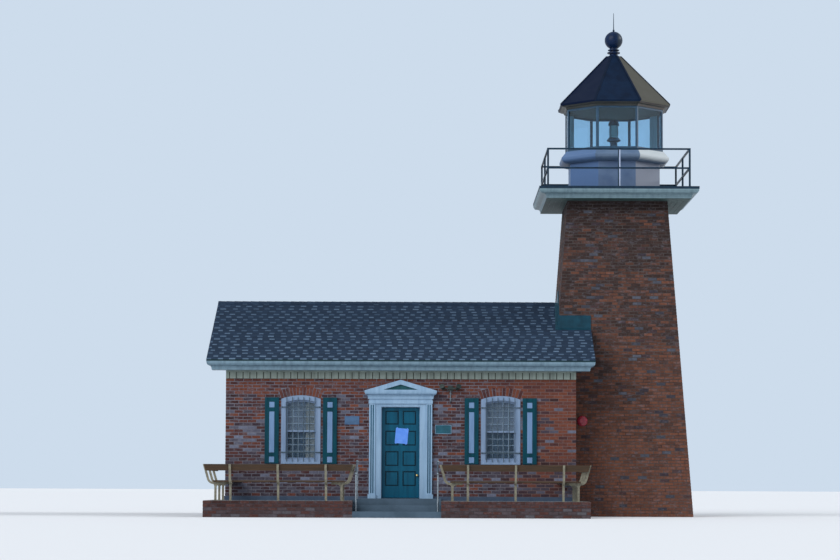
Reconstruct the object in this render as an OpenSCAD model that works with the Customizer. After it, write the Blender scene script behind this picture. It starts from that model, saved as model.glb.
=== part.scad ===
// Brick lighthouse: a gabled keeper's house, a square battered tower at its right end, a gallery
// and an eight-sided lantern. Millimetres, +Z up. The origin is on the tower's axis at ground
// level, and the entrance front faces -Y.

/* [Tower] */
// Width of the square tower at ground level
tower_base_w = 3534; // [3200:1:4000]
// Width of the tower under the gallery
tower_top_w = 2424; // [2200:1:2600]
// Height of the tower's brickwork
tower_h = 7666; // [6800:1:8600]
// Thickness of the tower's walls, measured level
tower_wall_t = 320; // [200:1:420]
// Thickness of the tower's ground slab
tower_slab_t = 300; // [100:1:400]

/* [House] */
// Length of the house along its front
house_len = 8263; // [7600:1:9500]
// Depth of the house from front wall to back wall
house_depth = 5434; // [5000:1:6000]
// Distance from the tower's axis to the house's right gable wall
house_end_x = 1095; // [900:1:1250]
// Thickness of the house's walls
wall_t = 250; // [200:1:320]
// Height of the finished floor over the ground
floor_z = 420; // [350:1:500]
// Thickness of the floor slab
floor_t = 120; // [80:1:200]
// Height of the plinth's top over the floor
plinth_rise = 45; // [20:1:80]
// How far the plinth stands out from the brickwork
plinth_out = 20; // [5:1:50]
// Thickness of the plinth wall
plinth_t = 290; // [250:1:400]

/* [House roof] */
// Height of the roof's edge at the eaves
eave_z = 3662; // [3500:1:3800]
// Pitch of the roof in degrees
roof_pitch = 26.6; // [22:0.1:34]
// Overhang of the eaves past the front and back walls
eave_out = 447; // [380:1:550]
// Overhang of the roof past the gable walls
gable_out = 435; // [300:1:500]
// Thickness of the roof deck and its shingles
roof_t = 30; // [20:1:60]
// Width of each wing of the ridge cap
ridge_cap_w = 150; // [80:1:250]
// Thickness of the ridge cap
ridge_cap_t = 14; // [8:1:30]
// Depth of the rake boards on the gables
rake_h = 150; // [80:1:220]
// Thickness of the rake boards and soffit boards
board_t = 25; // [18:1:40]
// Clearance between the roof deck and the boards under it
board_gap = 0.3; // [0.2:0.1:0.8]
// Height of the flashing on the tower over the roof
flashing_h = 315; // [150:1:360]
// How far the flashing stands out from the tower
flashing_t = 25; // [15:1:60]
// Width of the flashing's foot on the roof
flashing_foot = 80; // [60:1:200]

/* [Eave cornice] */
// Height of the cornice soffit over the ground
soffit_z = 3425; // [3380:1:3480]
// How far the crown moulding runs in from the eaves to its foot
crown_in = 120; // [90:1:220]
// Bottom of the frieze board
frieze_z = 3235; // [3150:1:3300]
// Thickness of the frieze board
frieze_t = 40; // [20:1:60]
// Height of the plain bed strip over the frieze
bed_h = 35; // [20:1:60]
// How far the bed strip stands out from the frieze
bed_out = 35; // [15:1:60]
// Distance between the grooves in the frieze
groove_pitch = 161; // [120:1:220]
// Width of a groove in the frieze
groove_w = 22; // [8:1:40]
// Depth of a groove in the frieze
groove_d = 18; // [4:1:19]

/* [Windows] */
// Distance of the front windows from the middle of the house
window_off = 2357; // [2100:1:2600]
// Width of a window over its casing
window_w = 925; // [800:1:1000]
// Bottom of the window casing
window_z = 1226; // [1100:1:1300]
// Crown of the window's arched head
window_top = 2840; // [2700:1:2900]
// Rise of the window's arched head
window_rise = 83; // [50:1:140]
// Face width of the casing
casing_w = 105; // [80:1:130]
// How far the casing stands out from the brickwork
casing_out = 18; // [5:1:40]
// Depth of the window frame in the wall
frame_d = 130; // [110:1:180]
// Width of the sash stiles and rails
sash_w = 42; // [30:1:60]
// Thickness of one sash
sash_t = 38; // [30:1:50]
// Height of the meeting rails' middle
meeting_z = 2000; // [1900:1:2150]
// Thickness of a pane
glass_t = 6; // [4:1:12]
// How far the window sill stands out from the casing
sill_out = 45; // [20:1:80]
// Height of the window sill
sill_h = 50; // [30:1:80]

/* [Shutters] */
// Width of a shutter
shutter_w = 330; // [280:1:380]
// Bottom of the shutters
shutter_z = 1230; // [1150:1:1300]
// Height of a shutter
shutter_h = 1560; // [1400:1:1650]
// Thickness of a shutter
shutter_t = 38; // [25:1:50]
// Gap between the casing and a shutter
shutter_gap = 58; // [30:1:80]
// Width of a shutter's sunk panels
panel_w = 130; // [90:1:180]
// Depth of a shutter's sunk panels
panel_d = 10; // [4:1:14]

/* [Front door] */
// Middle of the door, measured from the middle of the house
door_off = -2; // [-200:1:200]
// Width of the door leaf
door_w = 906; // [813:1:914]
// Height of the door leaf
door_h = 2134; // [2050:1:2180]
// Thickness of the door leaf
door_t = 45; // [40:1:55]
// Clearance around the door leaf
door_gap = 5; // [5:1:8]
// Height of the threshold over the floor
threshold_h = 15; // [10:1:25]
// Thickness of the door frame's jambs and head
jamb_t = 40; // [30:1:60]
// Distance from the wall's outer face to the door leaf
door_set = 60; // [50:1:70]
// How far the door stops reach into the opening
stop_w = 12; // [8:1:20]
// Thickness of the door stops
stop_t = 25; // [15:1:35]
// Width of the door's stiles
stile_w = 90; // [80:1:120]
// Depth of the door's sunk panels
door_panel_d = 12; // [6:1:16]
// Height of the knob over the floor
knob_h = 545; // [450:1:1000]
// Distance from the knob to the leaf's edge
backset = 60; // [50:1:80]
// Radius of the door knob
knob_r = 29; // [24:1:36]
// Height of a door hinge
hinge_h = 100; // [80:1:120]
// Distance of the outer hinges' middles from the leaf's ends
hinge_in = 220; // [150:1:300]
// Radius of a hinge knuckle
knuckle_r = 8; // [7:0.5:10]
// Radius of a hinge pin
hinge_pin_r = 4; // [3:0.5:5]
// Running clearance round a hinge pin
pin_gap = 0.3; // [0.2:0.05:0.6]
// Thickness of the hinge plates
hinge_plate_t = 3; // [2:0.5:5]
// Width of a hinge plate
hinge_plate_w = 28; // [20:1:30]

/* [Door surround] */
// Half the width over the pilasters
surround_half = 744; // [720:1:800]
// How far the pilasters stand out from the wall
pilaster_out = 70; // [50:1:100]
// Width of a pilaster's fluted shaft
shaft_w = 147; // [120:1:170]
// Number of flutes on a pilaster
flutes = 2; // [1:1:4]
// Width of a flute
flute_w = 26; // [15:1:30]
// Height of the pilaster's base block
base_h = 97; // [70:1:140]
// How far the base block stands out past the shaft
base_out = 25; // [10:1:40]
// Top of the pilasters
pilaster_top = 2651; // [2630:1:2670]
// Height of the neck strip over the pilasters
neck_h = 76; // [50:1:90]
// Half the width of the pediment
pediment_half = 855; // [820:1:900]
// Bottom of the pediment's crown moulding
crown_z = 2762; // [2750:1:2800]
// Top of the pediment's crown moulding
crown_top = 2956; // [2920:1:3000]
// Top of the pediment
pediment_top = 3209; // [3150:1:3215]
// How far the pediment stands out from the wall
pediment_out = 190; // [140:1:240]
// Half the width of the green pediment panel
tympanum_half = 410; // [350:1:450]
// Height of the green pediment panel
tympanum_h = 125; // [100:1:135]
// How far the pediment panel lies back from the pediment's face
tympanum_in = 60; // [30:1:90]

/* [Gallery] */
// Height of the gallery deck's walking surface over the brickwork
gallery_rise = 274; // [230:1:340]
// Width of the gallery deck
deck_w = 3850; // [3500:1:4200]
// Thickness of the deck plate
deck_t = 60; // [40:1:100]
// How far the cornice under the deck runs in to its foot
deck_crown_in = 177; // [120:1:230]
// Height of the plain strips at the head and the foot of the cornice
deck_lip_h = 45; // [30:1:60]
// Thickness of the cornice boards and soffit
deck_board_t = 30; // [20:1:45]
// Distance from the deck's edge to the middle of the railing
rail_in = 215; // [120:1:260]
// Height of the railing over the deck
rail_h = 945; // [850:1:1100]
// Height of the middle rail over the deck
mid_rail_h = 482; // [350:1:600]
// Width of a railing post
rail_post_w = 45; // [35:1:70]
// Thickness of the rails
rail_t = 40; // [30:1:60]

/* [Lantern] */
// Width of the lantern's lower wall over its flats
lantern_wall_w = 2200; // [2000:1:2350]
// Height of the lantern's lower wall
lantern_wall_h = 710; // [600:1:850]
// Thickness of the lantern's lower wall
lantern_wall_t = 110; // [70:1:160]
// Width of the round-nosed ledge over its flats
ledge_w = 2640; // [2450:1:2800]
// Height of the ledge
ledge_h = 305; // [260:1:400]
// Height of the ledge's nose over its foot
nose_h = 125; // [90:1:170]
// Width of the glazed storey over its flats
glazing_w = 2355; // [2200:1:2440]
// Height of the glazed storey
glazing_h = 1045; // [900:1:1200]
// Thickness of the glazing's posts and rails
post_t = 42; // [35:1:90]
// Height of the glazing's bottom rail
bottom_rail_h = 50; // [40:1:120]
// Height of the glazing's top rail
top_rail_h = 45; // [40:1:100]
// Width of the lantern roof over its flats at the eaves
lantern_eave_w = 2694; // [2560:1:2900]
// Height of the cornice under the lantern roof
lantern_cornice_h = 130; // [90:1:180]
// Height of the lantern roof from its eaves to its top plate
lantern_roof_h = 1260; // [1000:1:1450]
// Width of the lantern roof's top plate
roof_plate_w = 376; // [300:1:420]
// Thickness of the lantern roof
lantern_roof_t = 45; // [30:1:70]
// Width of the ribs over the roof's hips
rib_w = 46; // [30:1:70]
// How far the ribs stand out from the roof
rib_out = 16; // [8:1:30]
// Radius of the ball vent
ball_r = 222; // [180:1:240]
// Height of the neck between roof and ball
neck_len = 205; // [180:1:320]
// Radius of the neck
neck_r = 100; // [55:1:120]
// Radius of the rings on the neck
neck_ring_r = 158; // [125:1:170]
// Height of the lightning rod over the ball
rod_h = 465; // [300:1:600]
// Radius of the lightning rod
rod_r = 12; // [8:1:18]

/* [Beacon] */
// Radius of the beacon's lens
lens_r = 122; // [95:1:140]
// Height of the lens
lens_h = 476; // [420:1:560]
// Height of the pedestal over the gallery deck
pedestal_h = 1410; // [1300:1:1500]
// Radius of the pedestal's column
pedestal_r = 90; // [60:1:110]
// Radius of the pedestal's flange
flange_r = 170; // [150:1:220]

/* [Terrace] */
// Distance from the front wall to the terrace's edge
terrace_d = 2900; // [2500:1:3300]
// Height of the terrace over the ground
terrace_z = 370; // [300:1:410]
// How far the terrace reaches past the house at both ends
terrace_past = 208.5; // [100:0.5:400]
// Middle of the terrace, measured from the middle of the house
terrace_off = -45; // [-90:1:90]
// Half the width of the steps between the two halves
steps_half = 1000; // [900:1:1200]
// Thickness of the retaining walls
terrace_wall_t = 200; // [150:1:260]
// Thickness of the terrace paving
paving_t = 90; // [60:1:140]
// Number of risers in the steps
risers = 3; // [2:1:4]
// Depth of a tread
tread_d = 300; // [250:1:400]

/* [Benches] */
// Height of the bench seat over the terrace
seat_h = 460; // [400:1:500]
// Depth of the bench seat
seat_d = 420; // [380:1:460]
// Thickness of the bench planks
plank_t = 40; // [30:1:55]
// Height of the back board's top over the terrace
back_top_h = 820; // [750:1:900]
// Height of the back board
back_board_h = 145; // [110:1:180]
// Depth of the housings in the frames that hold the back board
board_let_in = 5; // [2:1:10]
// Width of the square tubes of a bench frame
tube_w = 50; // [38:1:60]
// Distance from the terrace's edge to the middle of a bench leg
leg_in = 250; // [230:1:290]
// Distance from the middle of a leg to where the seat bearer starts to bend up
bend_off = 44; // [35:1:60]
// Radius of that bend on the middle of the tube
bend_r = 130; // [100:1:150]
// Lean of the back from upright in degrees
back_angle = 16; // [8:1:20]
// How far a seat bearer reaches past the middle of the leg
bearer_reach = 230; // [180:1:260]
// Height of the bracket between leg and bearer
bracket_h = 45; // [30:1:70]
// How far the bracket reaches from the middle of the leg
bracket_reach = 75; // [50:1:110]
// Width of the plate under a leg
foot_w = 120; // [80:1:160]
// Thickness of the plate under a leg
foot_t = 8; // [5:1:15]
// Distance between the frames of the front benches
front_bay = 1075; // [900:1:1200]
// Distance between the frames of the side benches
side_bay = 1000; // [800:1:1020]
// Distance from the terrace's edge to the first side frame
side_start = 350; // [250:1:370]
// Length of the short bench beside the steps
return_len = 1450; // [1380:1:1700]

/* [Handrails] */
// Radius of the handrail pipes
pipe_r = 19; // [14:1:26]
// Radius of the ball fittings that join the pipes
pipe_ball_r = 30; // [28:1:40]
// Height of a handrail over the step under it
handrail_h = 850; // [750:1:950]
// Distance from the edge of the steps to a handrail
handrail_in = 80; // [75:1:200]
// Distance from the steps' foot to the upper handrail post
handrail_run = 900; // [820:1:1100]

/* [Wall fittings] */
// Radius of the round bell on the tower
bell_r = 125; // [100:1:150]
// Depth of the bell
bell_d = 60; // [40:1:80]
// Height of the bell over the ground
bell_z = 2286; // [2000:1:2600]
// Distance of the bell from the tower's axis
bell_x = 880; // [750:1:1000]
// Distance from the middle of the house to the floodlights
lamp_off = 1169; // [1000:1:1300]
// Height of the floodlights
lamp_z = 3017; // [2950:1:3050]
// Width over both floodlights
lamp_w = 470; // [400:1:550]
// Radius of a lamp head
lamp_r = 62; // [50:1:75]
// Length of a lamp head
lamp_len = 140; // [110:1:170]

/* [Hidden] */
$fn = 64;

brick = [0.55, 0.25, 0.2];
cream = [0.86, 0.87, 0.82];
teal = [0.05, 0.33, 0.33];
slate = [0.2, 0.24, 0.32];
iron = [0.12, 0.17, 0.16];
timber = [0.55, 0.42, 0.22];
steel = [0.62, 0.62, 0.58];
concrete = [0.5, 0.52, 0.54];
glass = [0.7, 0.85, 0.9, 0.35];

// A length past every part, for cutting shapes
far = 20000;
// Slope of the tower's faces, level run per unit of height
batter = (tower_base_w - tower_top_w) / 2 / tower_h;
batter_angle = atan(batter);
house_x0 = -(house_end_x + house_len);
house_x1 = -house_end_x;
house_cx = (house_x0 + house_x1) / 2;
half_depth = house_depth / 2;
plinth_z = floor_z + plinth_rise;
half_span = half_depth + eave_out;
roof_x0 = house_x0 - gable_out;
roof_x1 = house_x1 + gable_out;
// The roof's thickness measured upright
roof_v = roof_t / cos(roof_pitch);
crown_steps = 6;

door_cx = house_cx + door_off;
door_half = door_w / 2 + door_gap;
door_foot = floor_z + threshold_h + door_gap;
door_head = door_foot + door_h + door_gap;
door_cut_half = door_half + jamb_t;
leaf_x0 = door_cx - door_w / 2;
leaf_y0 = -half_depth + door_set;
door_frame_d = door_set + door_t;
// The hinges' axis, on the inner face of the leaf and in the middle of its side gap
hinge_x = leaf_x0 - door_gap / 2;
hinge_y = leaf_y0 + door_t + knuckle_r;
hinge_zs = [door_foot + hinge_in, door_foot + door_h / 2, door_foot + door_h - hinge_in];

window_r = (window_w * window_w / 4 + window_rise * window_rise) / (2 * window_rise);
front_windows = [[house_cx - window_off, -half_depth, 0], [house_cx + window_off, -half_depth, 0]];
back_windows = [[house_cx - window_off, half_depth, 180], [house_cx + window_off, half_depth, 180]];
end_windows = [[house_x0, 0, -90]];
all_windows = concat(front_windows, back_windows, end_windows);

deck_half = deck_w / 2;
deck_z = tower_h + gallery_rise;
rail_half = deck_half - rail_in;
ledge_z = deck_z + lantern_wall_h;
glazing_z = ledge_z + ledge_h;
lantern_eave_z = glazing_z + glazing_h + lantern_cornice_h;
plate_z = lantern_eave_z + lantern_roof_h;
ball_z = plate_z + neck_len + ball_r;
// The flat on the ball's top that carries the rod's collar
rod_seat = ball_z + sqrt(ball_r * ball_r - 4 * rod_r * rod_r);
// The ribs end in a ring round the ball vent's foot
rib_head = roof_plate_w / 2 / cos(22.5);
vent_foot_r = rib_head - rib_w - 2;
// Half the length of an octagon's side, per unit of half its width over the flats
octagon_side = tan(22.5);

terrace_y = -half_depth - terrace_d;
wall_foot_y = -half_depth - plinth_out;
terrace_cx = house_cx + terrace_off;
left_terrace = [terrace_cx - house_len / 2 - terrace_past, terrace_cx - steps_half];
right_terrace = [terrace_cx + steps_half, terrace_cx + house_len / 2 + terrace_past];
seat_under = seat_h - plank_t;
// Distance from the terrace's edge to the back of a bench seat
seat_in = leg_in - bend_off;
bend_steps = 6;

function tower_half(z) = tower_base_w / 2 - batter * z;
function roof_top(y) = eave_z + (half_span - abs(y)) * tan(roof_pitch);
function roof_under(y) = roof_top(y) - roof_v;
function boards_top(y) = roof_under(y) - board_gap;
function mirrored(p) = concat(p, [for (i = [len(p) - 1 : -1 : 0]) [-p[i][0], p[i][1]]]);
// A cyma curve from [0, 0] to [1, 1], hollow below and full above
function cyma(t) = [t - sin(360 * t) / 9, t + sin(360 * t) / 9];
function crown_line(x0, z0, dx, dz) =
    [for (i = [0 : crown_steps]) let (c = cyma(i / crown_steps)) [x0 + dx * c[0], z0 + dz * c[1]]];

// Extrudes a [y, z] outline from x0 to x1
module along_x(x0, x1) {
    translate([x0, 0, 0]) rotate([90, 0, 90]) linear_extrude(height = x1 - x0) children();
}

// Extrudes an [x, z] outline from y0 to y1
module along_y(y0, y1) {
    translate([0, y1, 0]) rotate([90, 0, 0]) linear_extrude(height = y1 - y0) children();
}

// A box between two corners
module block(lo, hi) {
    translate(lo) cube(hi - lo);
}

// A form with flat sides all round, from half of its profile as [half width, z]
module turned(half_profile, sides) {
    intersection_for (i = [0 : sides / 2 - 1])
        rotate([0, 0, i * 360 / sides]) along_y(-far, far) polygon(mirrored(half_profile));
}

module tower_form(grow = 0) {
    turned([[tower_half(0) + grow, 0], [tower_half(tower_h) + grow, tower_h]], 4);
}

// Everything under the roof deck, over the whole length
module under_roof() {
    along_x(-far, far) polygon([
        [-half_span, 0], [-half_span, roof_under(half_span)], [0, roof_under(0)],
        [half_span, roof_under(half_span)], [half_span, 0]]);
}

// Puts its children on a wall: local y = 0 is the brick face and +y runs inward
module on_wall(place) {
    translate([place[0], place[1], 0]) rotate([0, 0, place[2]]) children();
}

// Outline of a window, drawn in by a margin all round
module window_outline(margin) {
    intersection() {
        translate([-window_w / 2 + margin, window_z + margin])
            square([window_w - 2 * margin, window_top - window_z - 2 * margin]);
        translate([0, window_top - window_r]) circle(r = window_r - margin, $fn = 128);
    }
}

module window_holes() {
    for (w = all_windows) on_wall(w) along_y(-1, wall_t + 1) window_outline(0);
}

module foundation() {
    color(concrete) difference() {
        block([house_x0 - plinth_out, -half_depth - plinth_out, 0],
              [house_x1 + plinth_out, half_depth + plinth_out, plinth_z]);
        block([house_x0 - plinth_out + plinth_t, -half_depth - plinth_out + plinth_t, -1],
              [house_x1 + plinth_out - plinth_t, half_depth + plinth_out - plinth_t, plinth_z + 1]);
        block([door_cx - door_cut_half, -far, floor_z], [door_cx + door_cut_half, 0, far]);
        block([door_cx - surround_half - base_out, -far, floor_z],
              [door_cx + surround_half + base_out, -half_depth, far]);
        tower_form();
    }
}

module house_floor() {
    color(concrete) difference() {
        block([house_x0 - plinth_out + plinth_t, -half_depth - plinth_out + plinth_t, floor_z - floor_t],
              [house_x1 + plinth_out - plinth_t, half_depth + plinth_out - plinth_t, floor_z]);
        tower_form();
    }
}

module front_wall_part(x0, x1, z0) {
    color(brick) difference() {
        intersection() {
            block([x0, -half_depth, z0], [x1, -half_depth + wall_t, far]);
            under_roof();
        }
        window_holes();
    }
}

module front_wall_left() {
    front_wall_part(house_x0, door_cx - door_cut_half, plinth_z);
}

module front_wall_right() {
    front_wall_part(door_cx + door_cut_half, house_x1, plinth_z);
}

module front_wall_over_door() {
    front_wall_part(door_cx - door_cut_half, door_cx + door_cut_half, door_head + jamb_t);
}

module back_wall() {
    color(brick) difference() {
        intersection() {
            block([house_x0, half_depth - wall_t, plinth_z], [house_x1, half_depth, far]);
            under_roof();
        }
        window_holes();
    }
}

module gable_wall(x0) {
    color(brick) difference() {
        intersection() {
            block([x0, -half_depth + wall_t, plinth_z], [x0 + wall_t, half_depth - wall_t, far]);
            under_roof();
        }
        window_holes();
        tower_form();
    }
}

module left_gable_wall() {
    gable_wall(house_x0);
}

module right_gable_wall() {
    gable_wall(house_x1 - wall_t);
}

// The grooved frieze with its plain bed strip, on the front and the back wall
module wall_friezes() {
    color(cream) for (side = [0, 180]) translate([house_cx, 0, 0]) rotate([0, 0, side])
        difference() {
            union() {
                block([-house_len / 2, -half_depth - frieze_t, frieze_z],
                      [house_len / 2, -half_depth, soffit_z]);
                block([-house_len / 2, -half_depth - frieze_t - bed_out, soffit_z - bed_h],
                      [house_len / 2, -half_depth, soffit_z]);
            }
            for (x = [-house_len / 2 + groove_pitch / 2 : groove_pitch : house_len / 2 - groove_w])
                block([x - groove_w / 2, -far, frieze_z - 1],
                      [x + groove_w / 2, -half_depth - frieze_t + groove_d, soffit_z - bed_h]);
        }
}

// The boxed eaves: crown moulding, soffit and mitred ends
module eave_cornices() {
    edge = boards_top(half_span);
    crown = crown_line(-half_span + crown_in, soffit_z, -crown_in, edge - soffit_z);
    length = roof_x1 - roof_x0;
    color(cream) for (side = [0, 180]) translate([(roof_x0 + roof_x1) / 2, 0, 0])
        rotate([0, 0, side]) difference() {
            intersection() {
                along_x(-length / 2, length / 2)
                    polygon(concat([[-half_depth, soffit_z]], crown,
                                   [[-half_depth, boards_top(half_depth)]]));
                along_y(-far, far) polygon(mirrored(concat(
                    [for (p = crown) [length / 2 - (p[0] + half_span), p[1]]],
                    [[length / 2, far]])));
            }
            along_x(-length / 2 + crown_in + board_t, length / 2 - crown_in - board_t) polygon([
                [-half_depth - board_t, soffit_z + board_t],
                [-half_span + crown_in, soffit_z + board_t],
                [-half_span + crown_in, boards_top(half_span - crown_in) - board_t],
                [-half_depth - board_t, boards_top(half_depth + board_t) - board_t]]);
        }
}

// Sloping boards that close the roof's overhang on both gables
module rake_boards() {
    y0 = half_depth;
    color(cream) difference() {
        for (x = [roof_x0, house_x1]) along_x(x, x + gable_out) polygon([
            [-y0, boards_top(y0)], [0, boards_top(0)], [y0, boards_top(y0)],
            [y0, boards_top(y0) - board_t], [0, boards_top(0) - board_t],
            [-y0, boards_top(y0) - board_t]]);
        tower_form();
    }
    color(cream) difference() {
        for (x = [roof_x0, roof_x1 - board_t]) along_x(x, x + board_t) polygon([
            [-y0, boards_top(y0) - board_t], [0, boards_top(0) - board_t],
            [y0, boards_top(y0) - board_t], [y0, boards_top(y0) - rake_h],
            [0, boards_top(0) - rake_h], [-y0, boards_top(y0) - rake_h]]);
        tower_form();
    }
}

module roof_slope(side) {
    color(slate) difference() {
        along_x(roof_x0, roof_x1) polygon([
            [side * half_span, roof_top(half_span)], [0, roof_top(0)],
            [0, roof_under(0)], [side * half_span, roof_under(half_span)]]);
        tower_form();
    }
}

module roof_front() {
    roof_slope(-1);
}

module roof_back() {
    roof_slope(1);
}

module ridge_cap() {
    y1 = ridge_cap_w * cos(roof_pitch);
    lift = ridge_cap_t / cos(roof_pitch);
    color(slate) difference() {
        along_x(roof_x0, 0) polygon([
            [-y1, roof_top(y1)], [0, roof_top(0)], [y1, roof_top(y1)],
            [y1, roof_top(y1) + lift], [0, roof_top(0) + lift], [-y1, roof_top(y1) + lift]]);
        tower_form(flashing_foot);
    }
}

// Upstand against the tower's faces over the roof, with a foot on the shingles
module tower_flashing() {
    color(teal) difference() {
        intersection() {
            union() {
                intersection() {
                    tower_form(flashing_t);
                    roof_band(0, flashing_h);
                }
                intersection() {
                    tower_form(flashing_foot);
                    roof_band(0, ridge_cap_t);
                }
            }
            block([-far, -far, 0], [roof_x1, far, far]);
        }
        tower_form();
    }
}

// A chevron that follows the roof's slopes, between two heights over them
module roof_band(low, high) {
    along_x(-far, far) polygon([
        [-half_span, roof_top(half_span) + low], [0, roof_top(0) + low],
        [half_span, roof_top(half_span) + low], [half_span, roof_top(half_span) + high],
        [0, roof_top(0) + high], [-half_span, roof_top(half_span) + high]]);
}

module window_frames() {
    color(cream) for (w = all_windows) on_wall(w) {
        along_y(-casing_out, frame_d) difference() {
            window_outline(0);
            window_outline(casing_w);
        }
        block([-window_w / 2, -casing_out - sill_out, window_z],
              [window_w / 2, -casing_out, window_z + sill_h]);
    }
}

// Outline of the upper or lower sash, drawn in by a margin
module sash_outline(upper, margin) {
    low = upper ? meeting_z - sash_w / 2 : window_z + casing_w;
    high = upper ? window_top : meeting_z + sash_w / 2;
    intersection() {
        window_outline(casing_w + margin);
        translate([-window_w, low + margin]) square([2 * window_w, high - low - 2 * margin]);
    }
}

// The upper sash runs outside and the lower one inside
function sash_y(upper) = upper ? frame_d - 2 * sash_t : frame_d - sash_t;

module window_sashes() {
    color(cream) for (w = all_windows) on_wall(w) for (upper = [true, false])
        along_y(sash_y(upper), sash_y(upper) + sash_t) difference() {
            sash_outline(upper, 0);
            sash_outline(upper, sash_w);
        }
}

module window_glass() {
    color(glass) for (w = all_windows) on_wall(w) for (upper = [true, false])
        along_y(sash_y(upper) + (sash_t - glass_t) / 2, sash_y(upper) + (sash_t + glass_t) / 2)
            sash_outline(upper, sash_w);
}

// Heights of a shutter's sunk panels, as shares of the shutter
shutter_panels = [[0.045, 0.125], [0.195, 0.83], [0.895, 0.965]];

module shutter() {
    difference() {
        block([0, -shutter_t, shutter_z], [shutter_w, 0, shutter_z + shutter_h]);
        for (p = shutter_panels)
            block([(shutter_w - panel_w) / 2, -far, shutter_z + p[0] * shutter_h],
                  [(shutter_w + panel_w) / 2, -shutter_t + panel_d, shutter_z + p[1] * shutter_h]);
    }
}

module window_shutters() {
    inner = window_w / 2 + shutter_gap;
    color(teal) for (w = all_windows) on_wall(w) {
        translate([inner, 0, 0]) shutter();
        translate([-inner - shutter_w, 0, 0]) shutter();
    }
}

// Jambs, head, stops and threshold
module door_frame() {
    y0 = -half_depth;
    stop_y = leaf_y0 - door_gap;
    color(cream) translate([door_cx, y0, 0]) difference() {
        block([-door_cut_half, 0, floor_z], [door_cut_half, door_frame_d, door_head + jamb_t]);
        block([-door_half + stop_w, -1, floor_z + threshold_h],
              [door_half - stop_w, door_frame_d + 1, door_head - stop_w]);
        block([-door_half, -1, floor_z + threshold_h],
              [door_half, stop_y - stop_t - y0, door_head]);
        block([-door_half, stop_y - y0, floor_z + threshold_h],
              [door_half, door_frame_d + 1, door_head]);
    }
}

// Rows of the door's eight panels, as shares of the leaf's height
door_rows = [[0.128, 0.2925], [0.349, 0.513], [0.575, 0.739], [0.8065, 0.96]];
mid_stile_w = 95;

// The leaf has sunk panels on both faces, each with a raised field
module front_door() {
    pane = (door_w - 2 * stile_w - mid_stile_w) / 2;
    rim = 30;
    color(teal) translate([leaf_x0, leaf_y0, door_foot]) difference() {
        cube([door_w, door_t, door_h]);
        for (x = [stile_w, stile_w + pane + mid_stile_w], r = door_rows, face = [0, 1])
            translate([x, face * (door_t - door_panel_d), r[0] * door_h]) difference() {
                translate([0, -1 + face, 0]) cube([pane, door_panel_d + 1, (r[1] - r[0]) * door_h]);
                translate([rim, face * -door_panel_d / 2 + door_panel_d / 2, rim])
                    cube([pane - 2 * rim, door_panel_d, (r[1] - r[0]) * door_h - 2 * rim]);
            }
    }
}

// Knobs and roses on both faces, on one spindle
module door_knob() {
    rose_t = 6;
    shank_r = knob_r * 0.4;
    grip_mid = 44;
    grip_half = 17;
    half = [[0, 0], [knob_r, 0], [knob_r, rose_t], [shank_r, rose_t * 1.7],
            [shank_r, grip_mid - grip_half], [knob_r * 0.85, grip_mid - grip_half * 0.6],
            [knob_r, grip_mid], [knob_r * 0.85, grip_mid + grip_half * 0.6],
            [shank_r, grip_mid + grip_half * 0.95], [0, grip_mid + grip_half]];
    color("goldenrod") translate([leaf_x0 + door_w - backset, leaf_y0 + door_t / 2, floor_z + knob_h])
        for (face = [-1, 1]) rotate([-90 * face, 0, 0]) translate([0, 0, door_t / 2])
            rotate_extrude() polygon(half);
}

// One hinge's plate, from the axis towards x, and its knuckle's half
module hinge_half(side, low, high) {
    plate_y = -knuckle_r;
    plate_gap = 2;
    reach = knuckle_r + plate_gap;
    block(side < 0 ? [-reach - hinge_plate_w, plate_y, 0] : [reach, plate_y, 0],
          side < 0 ? [-reach, plate_y + hinge_plate_t, hinge_h]
                   : [reach + hinge_plate_w, plate_y + hinge_plate_t, hinge_h]);
    block([min(side * reach, 0), plate_y, low], [max(side * reach, 0), plate_y + hinge_plate_t, high]);
    translate([0, 0, low]) cylinder(r = knuckle_r, h = high - low);
}

// On the frame: plates, lower knuckles and pins
module hinge_pins() {
    color("silver") for (z = hinge_zs) translate([hinge_x, hinge_y, z - hinge_h / 2]) {
        hinge_half(-1, 0, hinge_h / 2);
        cylinder(r = hinge_pin_r, h = hinge_h);
    }
}

// On the leaf: plates and bored upper knuckles
module hinge_leaves() {
    color("silver") for (z = hinge_zs) translate([hinge_x, hinge_y, z - hinge_h / 2])
        difference() {
            hinge_half(1, hinge_h / 2 + pin_gap, hinge_h);
            translate([0, 0, hinge_h / 2 - 1]) cylinder(r = hinge_pin_r + pin_gap, h = hinge_h);
        }
}

module pilaster() {
    difference() {
        block([0, -pilaster_out, floor_z], [shaft_w, 0, pilaster_top]);
        for (i = [1 : flutes])
            translate([shaft_w * i / (flutes + 1), -pilaster_out, floor_z + base_h + flute_w])
                cylinder(r = flute_w / 2, h = pilaster_top - floor_z - base_h - 2 * flute_w, $fn = 24);
    }
    block([-base_out, -pilaster_out - base_out, floor_z],
          [shaft_w + base_out / 2, 0, floor_z + base_h]);
}

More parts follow.
